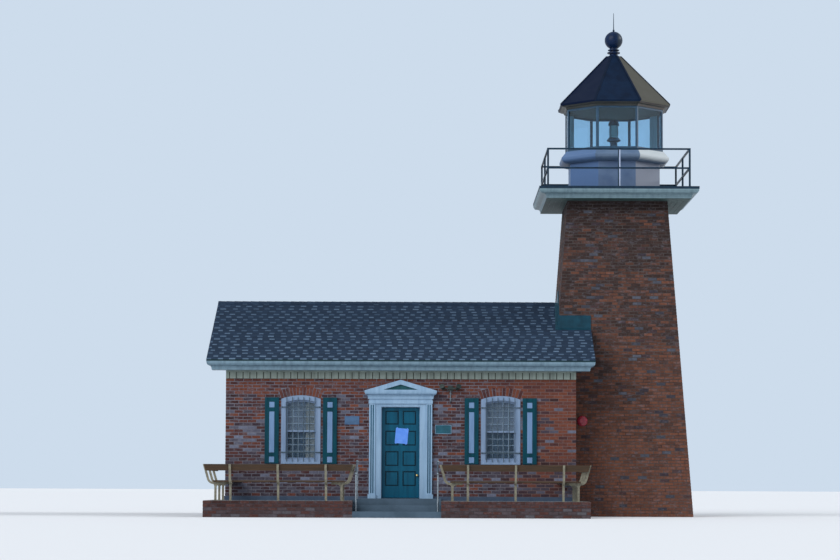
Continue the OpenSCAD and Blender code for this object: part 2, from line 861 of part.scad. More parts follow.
// Pilasters, flat jamb casings, entablature and pediment
module door_surround() {
    casing_in = 20;
    casing_out_y = casing_in - pilaster_out;
    crown = crown_line(surround_half + base_out, crown_z, pediment_half - surround_half - base_out,
                       crown_top - crown_z);
    crown_y = crown_line(-pilaster_out - base_out, crown_z,
                         -(pediment_out - pilaster_out - base_out), crown_top - crown_z);
    color(cream) translate([door_cx, -half_depth, 0]) {
        for (side = [0, 1]) mirror([side, 0, 0]) {
            translate([-surround_half, 0, 0]) pilaster();
            block([-surround_half + shaft_w, casing_out_y, floor_z], [-door_half, 0, pilaster_top]);
        }
        block([-door_half - 1, casing_out_y, door_head], [door_half + 1, 0, pilaster_top]);
        block([-surround_half - base_out / 2, -pilaster_out - base_out / 2, pilaster_top],
              [surround_half + base_out / 2, 0, pilaster_top + neck_h]);
        block([-surround_half, -pilaster_out, pilaster_top + neck_h], [surround_half, 0, crown_z]);
        intersection() {
            along_y(-far, far) polygon(mirrored(crown));
            along_x(-far, far) polygon(concat([[0, crown_z]], crown_y, [[0, crown_top]]));
        }
        difference() {
            along_y(-pediment_out, 0) polygon([[-pediment_half, crown_top], [pediment_half, crown_top],
                                               [0, pediment_top]]);
            along_y(-pediment_out - 1, -pediment_out + tympanum_in) tympanum_outline();
        }
    }
}

module tympanum_outline() {
    margin = 20;
    foot = crown_top + margin;
    polygon([[-tympanum_half, foot], [tympanum_half, foot], [0, foot + tympanum_h]]);
}

module pediment_panel() {
    panel_t = 8;
    color(teal) translate([door_cx, -half_depth - pediment_out + tympanum_in, 0])
        along_y(-panel_t, 0) tympanum_outline();
}

// Slab inside the foot of the tower
module tower_floor() {
    grow = -tower_wall_t;
    color(concrete) turned([[tower_half(0) + grow, 0],
                            [tower_half(tower_slab_t) + grow, tower_slab_t]], 4);
}

// Outline across one tower wall, as [distance from the axis, z]
function wall_strip() = [
    [tower_half(0) - tower_wall_t, 0], [tower_half(0), 0],
    [tower_half(tower_h), tower_h], [tower_half(tower_h) - tower_wall_t, tower_h]];

// The front and back walls run through, and the side walls stand between them
module tower_broad_wall(turn) {
    color(brick) rotate([0, 0, turn]) intersection() {
        tower_form();
        along_x(-far, far) polygon([for (p = wall_strip()) [-p[0], p[1]]]);
    }
}

module tower_side_wall(turn) {
    inner = mirrored([[tower_half(0) - tower_wall_t, 0],
                      [tower_half(tower_h) - tower_wall_t, tower_h]]);
    color(brick) rotate([0, 0, turn]) intersection() {
        along_y(-far, far) polygon(wall_strip());
        along_x(-far, far) polygon(inner);
    }
}

module tower_front_wall() {
    tower_broad_wall(0);
}

module tower_back_wall() {
    tower_broad_wall(180);
}

module tower_left_wall() {
    tower_side_wall(180);
}

module tower_right_wall() {
    tower_side_wall(0);
}

// Crown moulding and soffit, a tray that the deck plate closes
module gallery_cornice() {
    foot = deck_half - deck_crown_in;
    top = deck_z - deck_t;
    lip_out = 8;
    color(cream) difference() {
        turned(concat([[foot, tower_h], [foot, tower_h + deck_lip_h]],
                      crown_line(foot + lip_out, tower_h + deck_lip_h,
                                 deck_crown_in - 3 * lip_out, top - tower_h - 2 * deck_lip_h),
                      [[deck_half - lip_out, top - deck_lip_h], [deck_half - lip_out, top]]), 4);
        block([-foot + deck_board_t, -foot + deck_board_t, tower_h + deck_board_t],
              [foot - deck_board_t, foot - deck_board_t, far]);
    }
}

module gallery_deck() {
    color(iron) block([-deck_half, -deck_half, deck_z - deck_t], [deck_half, deck_half, deck_z]);
}

// Rails between two points on a line, at the height of the railing
module rails(x0, x1) {
    for (top = [rail_h, mid_rail_h])
        block([x0, -rail_half - rail_t / 2, deck_z + top - rail_t],
              [x1, -rail_half + rail_t / 2, deck_z + top]);
}

module rail_post(x) {
    block([x - rail_post_w / 2, -rail_half - rail_post_w / 2, deck_z],
          [x + rail_post_w / 2, -rail_half + rail_post_w / 2, deck_z + rail_h]);
}

// Front and back sides carry the corner posts
module railing_long(turn) {
    color(iron) rotate([0, 0, turn]) {
        for (x = [-rail_half, 0, rail_half]) rail_post(x);
        rails(-rail_half, rail_half);
    }
}

module railing_short(turn) {
    reach = rail_half - rail_post_w / 2;
    color(iron) rotate([0, 0, turn]) {
        rail_post(0);
        rails(-reach, reach);
    }
}

module railing_front() {
    railing_long(0);
}

module railing_back() {
    railing_long(180);
}

module railing_left() {
    railing_short(-90);
}

module railing_right() {
    railing_short(90);
}

module lantern_wall() {
    outer = lantern_wall_w / 2;
    color(cream) difference() {
        turned([[outer, deck_z], [outer, ledge_z]], 8);
        turned([[outer - lantern_wall_t, deck_z - 1], [outer - lantern_wall_t, ledge_z + 1]], 8);
    }
}

// A ledge that swells out over the lower wall to a nose, with a sloping top
module lantern_ledge() {
    wall = lantern_wall_w / 2;
    nose = ledge_w / 2;
    nose_t = 30;
    foot_out = 20;
    foot = wall + foot_out;
    swell = [for (i = [1 : crown_steps]) let (a = 90 * i / crown_steps)
        [foot + (nose - foot) * sin(a), ledge_z + nose_h * (1 - cos(a))]];
    inner = wall - lantern_wall_t;
    color(cream) difference() {
        turned(concat([[foot, ledge_z]], swell,
                      [[nose, ledge_z + nose_h + nose_t], [glazing_w / 2 + foot_out, glazing_z]]), 8);
        turned([[inner, ledge_z - 1], [inner, glazing_z + 1]], 8);
    }
}

// Eight corner posts between a bottom and a top rail
module lantern_frame() {
    outer = glazing_w / 2;
    clear_half = outer * octagon_side - post_t;
    color(cream) difference() {
        turned([[outer, glazing_z], [outer, glazing_z + glazing_h]], 8);
        turned([[outer - post_t, glazing_z - 1], [outer - post_t, glazing_z + glazing_h + 1]], 8);
        for (i = [0 : 7]) rotate([0, 0, i * 45])
            block([-clear_half, -far, glazing_z + bottom_rail_h],
                  [clear_half, 0, glazing_z + glazing_h - top_rail_h]);
    }
}

module lantern_glass() {
    outer = glazing_w / 2;
    clear_half = outer * octagon_side - post_t;
    mid = outer - post_t / 2;
    color(glass) for (i = [0 : 7]) rotate([0, 0, i * 45])
        block([-clear_half, -mid - glass_t / 2, glazing_z + bottom_rail_h],
              [clear_half, -mid + glass_t / 2, glazing_z + glazing_h - top_rail_h]);
}

// Moulded cornice and ceiling of the glazed storey
module lantern_cornice() {
    foot = glazing_w / 2 + 15;
    z0 = glazing_z + glazing_h;
    top = lantern_eave_z - lantern_roof_t;
    // A plain fillet runs under the curved part, which ends short of the roof's edge
    fillet_out = 20;
    fillet_h = 25;
    eave_in = 40;
    color(cream) difference() {
        turned(concat([[foot, z0]], crown_line(foot + fillet_out, z0 + fillet_h,
                                              lantern_eave_w / 2 - eave_in - foot - fillet_out,
                                              top - z0 - fillet_h)), 8);
        turned([[foot - post_t, z0 + board_t], [foot - post_t, far]], 8);
    }
}

function lantern_roof_profile(drop) = [
    [lantern_eave_w / 2 - drop, lantern_eave_z - lantern_roof_t],
    [lantern_eave_w / 2 - drop, lantern_eave_z - drop],
    [roof_plate_w / 2 - drop / 3, plate_z - drop]];

// A hollow eight-sided spire
module lantern_roof() {
    color(slate) difference() {
        turned(lantern_roof_profile(0), 8);
        turned([for (p = lantern_roof_profile(lantern_roof_t)) [p[0], p[1] - 1]], 8);
    }
}

// Ribs over the eight hips
module roof_ribs() {
    foot = lantern_eave_w / 2 / cos(22.5);
    head = rib_head;
    color(slate) difference() {
        for (i = [0 : 7]) rotate([0, 0, 22.5 + i * 45])
            along_y(-rib_w / 2, rib_w / 2) polygon([
                [foot, lantern_eave_z - lantern_roof_t / 2], [foot, lantern_eave_z + rib_out],
                [head, plate_z + rib_out], [head - rib_w, plate_z + rib_out],
                [head - rib_w, plate_z], [foot - lantern_roof_h, lantern_eave_z]]);
        turned(lantern_roof_profile(0), 8);
    }
}

// Foot plate, ringed neck and ball, all turned
module ball_vent() {
    foot_h = 22;
    upper_ring_r = neck_ring_r * 0.9;
    // The neck runs on into the ball
    neck_top = neck_len + ball_r / 4;
    color(slate) {
        translate([0, 0, plate_z]) rotate_extrude() polygon([
            [0, 0], [vent_foot_r, 0], [vent_foot_r, foot_h], [neck_r * 1.2, foot_h * 1.4],
            [neck_r, neck_len * 0.27], [neck_r, neck_len * 0.42], [neck_ring_r, neck_len * 0.47],
            [neck_ring_r, neck_len * 0.6], [neck_r, neck_len * 0.65], [neck_r, neck_len * 0.78],
            [upper_ring_r, neck_len * 0.82], [upper_ring_r, neck_len * 0.92],
            [neck_r, neck_len * 0.96], [neck_r, neck_top], [0, neck_top]]);
        difference() {
            translate([0, 0, ball_z]) sphere(r = ball_r, $fn = 96);
            block([-ball_r, -ball_r, rod_seat], [ball_r, ball_r, far]);
        }
    }
}

module lightning_rod() {
    color(iron) translate([0, 0, rod_seat]) {
        cylinder(r = rod_r * 2, h = rod_r * 4);
        cylinder(r1 = rod_r, r2 = rod_r / 2, h = rod_h);
    }
}

module beacon_pedestal() {
    flange_t = 30;
    color(iron) translate([0, 0, deck_z]) rotate_extrude() polygon([
        [0, 0], [flange_r * 1.4, 0], [flange_r * 1.4, flange_t], [pedestal_r, 2 * flange_t],
        [pedestal_r, pedestal_h - 3 * flange_t], [flange_r, pedestal_h - 2 * flange_t],
        [flange_r, pedestal_h - flange_t], [lens_r * 1.1, pedestal_h], [0, pedestal_h]]);
}

// The lens: a barrel of stepped rings under a domed cap
module beacon_lens() {
    rings = 9;
    barrel_h = lens_h * 0.68;
    cap_r = lens_r * 1.08;
    lip_h = 20;
    cap_h = lens_h - barrel_h - lip_h;
    color(glass) translate([0, 0, deck_z + pedestal_h]) rotate_extrude() polygon(concat(
        [[0, 0]],
        [for (i = [0 : rings - 1], s = [0, 1])
            [lens_r * (s == 0 ? 1.0 : 0.92) * (1 - 0.12 * pow(2 * i / (rings - 1) - 1, 2)),
             barrel_h * (i + s) / rings]],
        [for (a = [0 : 15 : 75]) [cap_r * cos(a), barrel_h + lip_h + cap_h * sin(a)]],
        [[0, lens_h]]));
}

// A round bell on the tower's sloping front face
module alarm_bell() {
    color("firebrick") translate([-bell_x, -tower_half(bell_z), bell_z])
        rotate([90 - batter_angle, 0, 0]) rotate_extrude() polygon([
            [0, 0], [bell_r * 0.35, 0], [bell_r * 0.35, bell_d * 0.3], [bell_r * 0.96, bell_d * 0.3],
            [bell_r, bell_d * 0.4], [bell_r * 0.9, bell_d * 0.75], [bell_r * 0.5, bell_d],
            [0, bell_d]]);
}

// A junction box with an arm and two lamp heads
module floodlights() {
    arm_y = -90;
    arm_half = 15;
    box_half = 60;
    box_d = 75;
    head_x = lamp_w / 2 - lamp_r;
    color(iron) translate([house_cx + lamp_off, -half_depth, lamp_z]) {
        block([-box_half, -box_d, -box_half], [box_half, 0, box_half]);
        block([-head_x - arm_half, arm_y - 2 * arm_half, -arm_half],
              [head_x + arm_half, arm_y + 2 * arm_half, arm_half]);
        for (side = [-1, 1]) translate([side * head_x, arm_y, 0]) rotate([60, 0, side * 20])
            translate([0, 0, -lamp_len * 0.3]) cylinder(r1 = lamp_r * 0.6, r2 = lamp_r, h = lamp_len);
    }
}

// Low retaining walls round both halves of the terrace
module terrace_walls() {
    t = terrace_wall_t;
    color(brick) for (s = [left_terrace, right_terrace]) difference() {
        block([s[0], terrace_y, 0], [s[1], wall_foot_y, terrace_z]);
        block([s[0] + t, terrace_y + t, -1], [s[1] - t, wall_foot_y + 1, terrace_z + 1]);
    }
}

module terrace_paving() {
    t = terrace_wall_t;
    color(concrete) for (s = [left_terrace, right_terrace])
        block([s[0] + t, terrace_y + t, terrace_z - paving_t], [s[1] - t, wall_foot_y, terrace_z]);
}

// Steps up to a landing at floor height
module front_steps() {
    riser = floor_z / risers;
    color(concrete) for (i = [1 : risers])
        block([left_terrace[1], terrace_y + (i - 1) * tread_d, (i - 1) * riser],
              [right_terrace[0], wall_foot_y, i * riser]);
}

// Pipe rails beside the steps, each on two posts, joined by ball fittings
module step_handrails() {
    riser = floor_z / risers;
    rise = floor_z - riser;
    feet = [[0, riser], [handrail_run, floor_z]];
    color(iron) for (side = [-1, 1])
        translate([terrace_cx + side * (steps_half - handrail_in), terrace_y + tread_d / 2, 0]) {
            for (p = feet) translate([0, p[0], p[1]]) {
                cylinder(r = pipe_r, h = handrail_h);
                translate([0, 0, handrail_h]) sphere(r = pipe_ball_r);
            }
            translate([0, 0, riser + handrail_h]) rotate([-atan2(handrail_run, rise), 0, 0])
                cylinder(r = pipe_r, h = norm([handrail_run, rise]));
        }
}

// One side of a bent tube, from the end of the seat bearer to the top of the back
function arm_side(r) = let (
        bend = [for (i = [0 : bend_steps]) let (a = (90 - back_angle) * i / bend_steps)
            [seat_in - r * sin(a), seat_under - tube_w / 2 + bend_r - r * cos(a)]],
        last = bend[bend_steps])
    concat(bend, [[last[0] - (back_top_h - last[1]) * tan(back_angle), back_top_h]]);

// Bench frame across the bench: a leg, and a seat bearer that bends up to carry the back
module bench_frame() {
    outer = arm_side(bend_r + tube_w / 2);
    along_x(-tube_w / 2, tube_w / 2) {
        polygon(concat(arm_side(bend_r - tube_w / 2), [for (i = [len(outer) - 1 : -1 : 0]) outer[i]]));
        translate([seat_in, seat_under - tube_w]) square([bend_off + bearer_reach, tube_w]);
        translate([leg_in, seat_under - tube_w]) polygon([
            [-bend_off, tube_w / 2], [-bend_off, 0], [-tube_w / 2, -bracket_h],
            [tube_w / 2, -bracket_h], [bracket_reach, 0], [bracket_reach, tube_w / 2]]);
        translate([leg_in - tube_w / 2, 0]) square([tube_w, seat_under - tube_w / 2]);
        translate([leg_in - foot_w / 2, 0]) square([foot_w, foot_t]);
    }
}

// A leaning back board along +x, each end square or mitred at 45 degrees for a corner
module back_board() {
    slope = tan(back_angle);
    arm = arm_side(bend_r - tube_w / 2);
    top_y = arm[bend_steps + 1][0] - board_let_in;
    foot_y = top_y + slope * back_board_h;
    foot = back_top_h - back_board_h;
    cut = leg_in;
    intersection() {
        along_x(-cut, $run_len + cut) polygon([
            [foot_y, foot], [foot_y + plank_t, foot], [top_y + plank_t, back_top_h],
            [top_y, back_top_h]]);
        linear_extrude(height = 2 * back_top_h) polygon([
            [$mitres[0] * cut, cut], [$run_len - $mitres[1] * cut, cut],
            [$run_len + $mitres[1] * cut, -cut], [-$mitres[0] * cut, -cut]]);
    }
}

// Places what it is given along a bench's back: the front, the outer end and a short one at the
// steps, as $run, with $run_len its length and $mitres telling which of its ends meet a corner
module bench_runs() {
    for (side = [-1, 1]) {
        s = side < 0 ? left_terrace : right_terrace;
        length = s[1] - s[0];
        left_len = side < 0 ? terrace_d - plinth_out : return_len;
        right_len = side < 0 ? return_len : terrace_d - plinth_out;
        translate([s[0], terrace_y, terrace_z]) {
            let ($run = "front", $run_len = length, $mitres = [1, 1]) children();
            translate([0, left_len, 0]) rotate([0, 0, -90])
                let ($run = "left", $run_len = left_len, $mitres = [0, 1]) children();
            translate([length, 0, 0]) rotate([0, 0, 90])
                let ($run = "right", $run_len = right_len, $mitres = [1, 0]) children();
        }
    }
}

module all_bench_frames() {
    bench_runs() {
        side_xs = [for (y = [side_start : side_bay : $run_len - tube_w]) y];
        xs = $run == "front" ? [for (i = [-1 : 1]) $run_len / 2 + i * front_bay]
            : $run == "left" ? [for (y = side_xs) $run_len - y] : side_xs;
        for (x = xs) translate([x, 0, 0]) bench_frame();
    }
}

// Bench frames, housed to take the back boards
module bench_frames() {
    color(steel) difference() {
        all_bench_frames();
        bench_runs() back_board();
    }
}

// Seats of the three runs, kept clear of the bends of the frames round a corner
module bench_seats() {
    color(timber) bench_runs()
        block([$mitres[0] * seat_in, seat_in, seat_under],
              [$run_len - $mitres[1] * seat_in, seat_in + seat_d, seat_h]);
}

module bench_backs() {
    color(timber) bench_runs() back_board();
}

foundation();
house_floor();
front_wall_left();
front_wall_right();
front_wall_over_door();
back_wall();
left_gable_wall();
right_gable_wall();
wall_friezes();
eave_cornices();
rake_boards();
roof_front();
roof_back();
ridge_cap();
tower_flashing();
window_frames();
window_sashes();
window_glass();
window_shutters();
door_frame();
front_door();
door_knob();
hinge_pins();
hinge_leaves();
door_surround();
pediment_panel();
tower_floor();
tower_front_wall();
tower_back_wall();
tower_left_wall();
tower_right_wall();
gallery_cornice();
gallery_deck();
railing_front();
railing_back();
railing_left();
railing_right();
lantern_wall();
lantern_ledge();
lantern_frame();
lantern_glass();
lantern_cornice();
lantern_roof();
roof_ribs();
ball_vent();
lightning_rod();
beacon_pedestal();
beacon_lens();
alarm_bell();
floodlights();
terrace_walls();
terrace_paving();
front_steps();
step_handrails();
bench_frames();
bench_seats();
bench_backs();
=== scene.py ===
"""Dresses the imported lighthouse: its brickwork, shingles, window bars, fittings and finishes, with
a stage, light and camera. Metres, in the part's own frame."""
import math
import random

import bpy
from mathutils import Matrix, Vector, noise


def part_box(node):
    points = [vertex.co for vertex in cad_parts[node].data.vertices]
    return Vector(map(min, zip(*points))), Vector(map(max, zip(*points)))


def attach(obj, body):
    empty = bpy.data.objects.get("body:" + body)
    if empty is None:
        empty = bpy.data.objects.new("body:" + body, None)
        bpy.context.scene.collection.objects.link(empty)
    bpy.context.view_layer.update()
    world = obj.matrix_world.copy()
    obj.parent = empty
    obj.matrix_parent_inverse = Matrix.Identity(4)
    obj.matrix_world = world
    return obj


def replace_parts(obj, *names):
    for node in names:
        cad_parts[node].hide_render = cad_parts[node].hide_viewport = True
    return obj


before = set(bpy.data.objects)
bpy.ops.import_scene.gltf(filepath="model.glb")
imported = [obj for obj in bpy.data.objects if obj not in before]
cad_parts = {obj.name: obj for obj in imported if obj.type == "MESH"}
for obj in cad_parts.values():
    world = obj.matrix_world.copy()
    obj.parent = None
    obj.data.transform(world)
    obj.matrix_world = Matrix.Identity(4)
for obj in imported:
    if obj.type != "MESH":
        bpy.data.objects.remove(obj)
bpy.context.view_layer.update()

# Sizes of the building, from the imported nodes
HOUSE_X0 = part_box("left_gable_wall")[0].x
HOUSE_X1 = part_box("front_wall_right")[1].x
HOUSE_CX = (HOUSE_X0 + HOUSE_X1) / 2
HALF_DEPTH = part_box("back_wall")[1].y
PLINTH_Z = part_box("back_wall")[0].z
TOWER_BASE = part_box("tower_front_wall")[1].x
TOWER_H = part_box("tower_front_wall")[1].z
DECK_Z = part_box("gallery_deck")[1].z
ROOF_X0, HALF_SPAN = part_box("roof_back")[0].x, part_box("roof_back")[1].y
ROOF_X1, RIDGE_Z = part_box("roof_back")[1].x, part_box("roof_back")[1].z
LENS_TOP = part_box("beacon_lens")[1].z
TERRACE_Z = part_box("terrace_walls")[1].z
TERRACE_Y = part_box("terrace_walls")[0].y
WALL_FOOT_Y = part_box("foundation")[0].y

# Sizes that the nodes' boxes don't give, as the part's source has them
TOWER_TOP = 1.212
PITCH, ROOF_T, RAKE_SOFFIT_T = math.radians(26.6), 0.030, 0.026
SOFFIT_Z, FRIEZE_Z, FRIEZE_T, BED_H = 3.425, 3.235, 0.040, 0.035
GROOVE_PITCH, GROOVE_W, GROOVE_D = 0.161, 0.022, 0.018
WINDOW_OFF, WINDOW_HALF = 2.357, 0.4625
WINDOW_Z, WINDOW_TOP, WINDOW_RISE = 1.226, 2.840, 0.083
CASING_W, CASING_OUT, SILL_H = 0.105, 0.018, 0.050
FRAME_D, SASH_T, SASH_W, MEETING_Z = 0.130, 0.038, 0.042, 2.000
SHUTTER_W, SHUTTER_Z, SHUTTER_H, SHUTTER_T = 0.330, 1.230, 1.560, 0.038
SHUTTER_GAP, PANEL_W, PANEL_D = 0.058, 0.130, 0.010
# Heights of a shutter's three sunk panels, as shares of the shutter, read off the photograph
SHUTTER_PANELS = ((0.016, 0.108), (0.165, 0.789), (0.846, 0.935))
DOOR_CX, DOOR_FACE_Y, FLOOR_Z = -5.2285, -2.657, 0.420
SURROUND_HALF, PILASTER_OUT, SHAFT_W, FLUTE_R = 0.744, 0.070, 0.147, 0.013
PILASTER_BASE, PILASTER_TOP = 0.097, 2.651
DOOR_W, DOOR_LEAF_H, STILE_W, MID_STILE_W, DOOR_PANEL_D = 0.906, 2.134, 0.090, 0.095, 0.012
DOOR_ROWS = ((0.128, 0.2925), (0.349, 0.513), (0.575, 0.739), (0.8065, 0.96))
THRESHOLD_H = 0.015
TERRACE_CX, TERRACE_HALF, STEPS_HALF, TERRACE_WALL = -5.2715, 4.340, 1.000, 0.200
SEAT_Z, SEAT_T, SEAT_D, SEAT_IN = 0.460, 0.040, 0.420, 0.206
RETURN_LEN, FRONT_BAY, SIDE_BAY, SIDE_START = 1.450, 1.075, 1.000, 0.350
DECK_CROWN_IN, RAIL_POST_W = 0.177, 0.045
LENS_H, BARREL_SHARE = 0.476, 0.68
LAMP_X, LAMP_Z, LAMP_W, LAMP_R, LAMP_LEN = HOUSE_CX + 1.169, 3.017, 0.470, 0.062, 0.140

WINDOW_R = (WINDOW_HALF ** 2 + WINDOW_RISE ** 2) / (2 * WINDOW_RISE)
ARCH_Z = WINDOW_TOP - WINDOW_R
WINDOW_PLACES = (
    (HOUSE_CX - WINDOW_OFF, -HALF_DEPTH, 0), (HOUSE_CX + WINDOW_OFF, -HALF_DEPTH, 0),
    (HOUSE_CX - WINDOW_OFF, HALF_DEPTH, 180), (HOUSE_CX + WINDOW_OFF, HALF_DEPTH, 180),
    (HOUSE_X0, 0.0, -90))


# ---- finishes ----

def colour(hex_value):
    """A linear colour from an sRGB hex value."""
    parts = [int(hex_value[i:i + 2], 16) / 255 for i in (1, 3, 5)]
    return [p / 12.92 if p <= 0.04045 else ((p + 0.055) / 1.055) ** 2.4 for p in parts] + [1.0]


def per(mm):
    """The texture scale that makes a pattern repeat every so many millimetres."""
    return 1000.0 / mm


def add(tree, kind, settings=None, values=None, links=None, stops=None):
    """Adds a node with its settings, its sockets' values, what is linked to them and ramp stops."""
    made = tree.nodes.new(kind)
    for key, value in (settings or {}).items():
        setattr(made, key, value)
    for key, value in (values or {}).items():
        made.inputs[key].default_value = value
    for key, source in (links or {}).items():
        tree.links.new(source, made.inputs[key])
    if stops:
        elements = made.color_ramp.elements
        while len(elements) < len(stops):
            elements.new(1.0)
        for element, (place, hex_value) in zip(elements, stops):
            element.position, element.color = place, colour(hex_value)
    return made


def begin(name, **values):
    """A new material with its shader and the place on the object, in metres."""
    material = bpy.data.materials.new(name)
    material.use_nodes = True
    tree = material.node_tree
    tree.nodes.clear()
    shader = add(tree, "ShaderNodeBsdfPrincipled",
                 values={key.replace("_", " "): value for key, value in values.items()})
    add(tree, "ShaderNodeOutputMaterial", links={"Surface": shader.outputs["BSDF"]})
    where = add(tree, "ShaderNodeTexCoord").outputs["Object"]
    return material, tree, shader, where


# A Mix node's sockets by number: the factor, two colours and their mix, two vectors and their mix
FACTOR, MIX_A, MIX_B, MIXED = 0, 6, 7, 2
VECTOR_A, VECTOR_B, VECTOR_MIXED = 4, 5, 1
# Where along x the house's wall turns redder, and how far the x part of a face's normal has gone
# when its painted sunlight, towards +x, and its painted shade, towards -x, begin and are full, at
# about 15 and 30 degrees from the front
RED_FROM, RED_BY = -3.1, -2.2
TURN_FROM, TURN_BY = 0.25, 0.5


def right_end(tree, where):
    """Rises from 0 to 1 towards the house's right end, where the wall is redder and less limed."""
    place = add(tree, "ShaderNodeSeparateXYZ", links={"Vector": where})
    return add(tree, "ShaderNodeMapRange", values={"From Min": RED_FROM, "From Max": RED_BY},
               links={"Value": place.outputs["X"]}).outputs["Result"]


def brick_clay(name, tones, bloom, house=False):
    """Pressed clay brick, fired unevenly: each brick has a red of its own, cloudy inside, with a
    sandy dull face and a pale bloom of lime."""
    material, tree, shader, where = begin(name, Roughness=0.88, IOR=1.5, Specular_IOR_Level=0.2)
    tone = add(tree, "ShaderNodeAttribute", {"attribute_name": "tone"})
    fired = add(tree, "ShaderNodeValToRGB", links={"Fac": tone.outputs["Fac"]}, stops=tones)
    # Clouds from the kiln, a third of a brick long
    cloud = add(tree, "ShaderNodeTexNoise",
                values={"Scale": per(70), "Detail": 4, "Roughness": 0.6}, links={"Vector": where})
    dark = add(tree, "ShaderNodeMapRange",
               values={"From Min": 0.35, "From Max": 0.75, "To Max": 0.5},
               links={"Value": cloud.outputs["Fac"]})
    burnt = add(tree, "ShaderNodeMix", {"data_type": "RGBA", "blend_type": "MULTIPLY"},
                {MIX_B: colour("#8a7a78")},
                {FACTOR: dark.outputs["Result"], MIX_A: fired.outputs["Color"]})
    # Smears of old mortar, a hand wide and half as high
    smeared = add(tree, "ShaderNodeMapping", values={"Scale": (1.0, 1.0, 2.2)},
                  links={"Vector": where})
    lime = add(tree, "ShaderNodeTexNoise",
               values={"Scale": per(150), "Detail": 4, "Roughness": 0.75},
               links={"Vector": smeared.outputs["Vector"]})
    limed = add(tree, "ShaderNodeMapRange",
                values={"From Min": 0.52, "From Max": 0.7, "To Max": bloom},
                links={"Value": lime.outputs["Fac"]})
    smear = limed.outputs["Result"]
    if house:
        washed = add(tree, "ShaderNodeMapRange", values={"To Min": 1.0, "To Max": 0.2},
                     links={"Value": right_end(tree, where)})
        smear = add(tree, "ShaderNodeMath", {"operation": "MULTIPLY"},
                    links={0: smear, 1: washed.outputs["Result"]}).outputs["Value"]
    pale = add(tree, "ShaderNodeMix", {"data_type": "RGBA"}, {MIX_B: colour("#72737e")},
               {FACTOR: smear, MIX_A: burnt.outputs[MIXED]})
    tree.links.new(pale.outputs[MIXED], shader.inputs["Base Color"])
    # Sand in the clay is under a millimetre, drawn at 6 mm to show
    sand = add(tree, "ShaderNodeTexNoise",
               values={"Scale": per(6), "Detail": 3, "Roughness": 0.7}, links={"Vector": where})
    grit = add(tree, "ShaderNodeBump", values={"Strength": 0.45, "Distance": 0.002},
               links={"Height": sand.outputs["Fac"]})
    tree.links.new(grit.outputs["Normal"], shader.inputs["Normal"])
    return material


def lime_mortar(name, light, dark, reddened=None):
    """Struck lime mortar, troweled into the joints: chalky, sandy and stained by rain."""
    material, tree, shader, where = begin(name, Roughness=0.93, IOR=1.5, Specular_IOR_Level=0.2)
    stain = add(tree, "ShaderNodeTexNoise",
                values={"Scale": per(260), "Detail": 7, "Roughness": 0.65},
                links={"Vector": where})
    shade = add(tree, "ShaderNodeValToRGB", links={"Fac": stain.outputs["Fac"]},
                stops=((0.3, dark), (0.7, light)))
    surface = shade.outputs["Color"]
    if reddened:
        # Brick dust in the joints
        dusty = add(tree, "ShaderNodeMix", {"data_type": "RGBA"}, {MIX_B: colour(reddened)},
                    {FACTOR: right_end(tree, where), MIX_A: surface})
        surface = dusty.outputs[MIXED]
    tree.links.new(surface, shader.inputs["Base Color"])
    # Its sand is 1 to 2 mm, drawn at 5 mm to show
    sand = add(tree, "ShaderNodeTexNoise", values={"Scale": per(5), "Detail": 2},
               links={"Vector": where})
    grit = add(tree, "ShaderNodeBump", values={"Strength": 0.5, "Distance": 0.002},
               links={"Height": sand.outputs["Fac"]})
    tree.links.new(grit.outputs["Normal"], shader.inputs["Normal"])
    return material


def oil_paint(name, fresh, aged, roughness, relief=0.12, sheen=0.35):
    """Oil paint brushed on timber: even, with a low sheen, faint brush strokes and rain streaks."""
    material, tree, shader, where = begin(name, Roughness=roughness, IOR=1.48,
                                          Specular_IOR_Level=sheen)
    # Streaks and strokes run down, eight times as long as they are wide
    stretched = add(tree, "ShaderNodeMapping", values={"Scale": (1.0, 1.0, 0.12)},
                    links={"Vector": where})
    rain = add(tree, "ShaderNodeTexNoise",
               values={"Scale": per(90), "Detail": 6, "Roughness": 0.6},
               links={"Vector": stretched.outputs["Vector"]})
    shade = add(tree, "ShaderNodeValToRGB", links={"Fac": rain.outputs["Fac"]},
                stops=((0.34, aged), (0.58, fresh)))
    tree.links.new(shade.outputs["Color"], shader.inputs["Base Color"])
    # Bristle marks are about a millimetre, drawn at 9 mm to show
    strokes = add(tree, "ShaderNodeTexNoise", values={"Scale": per(9), "Detail": 3},
                  links={"Vector": stretched.outputs["Vector"]})
    brushed = add(tree, "ShaderNodeBump", values={"Strength": relief, "Distance": 0.002},
                  links={"Height": strokes.outputs["Fac"]})
    tree.links.new(brushed.outputs["Normal"], shader.inputs["Normal"])
    return material


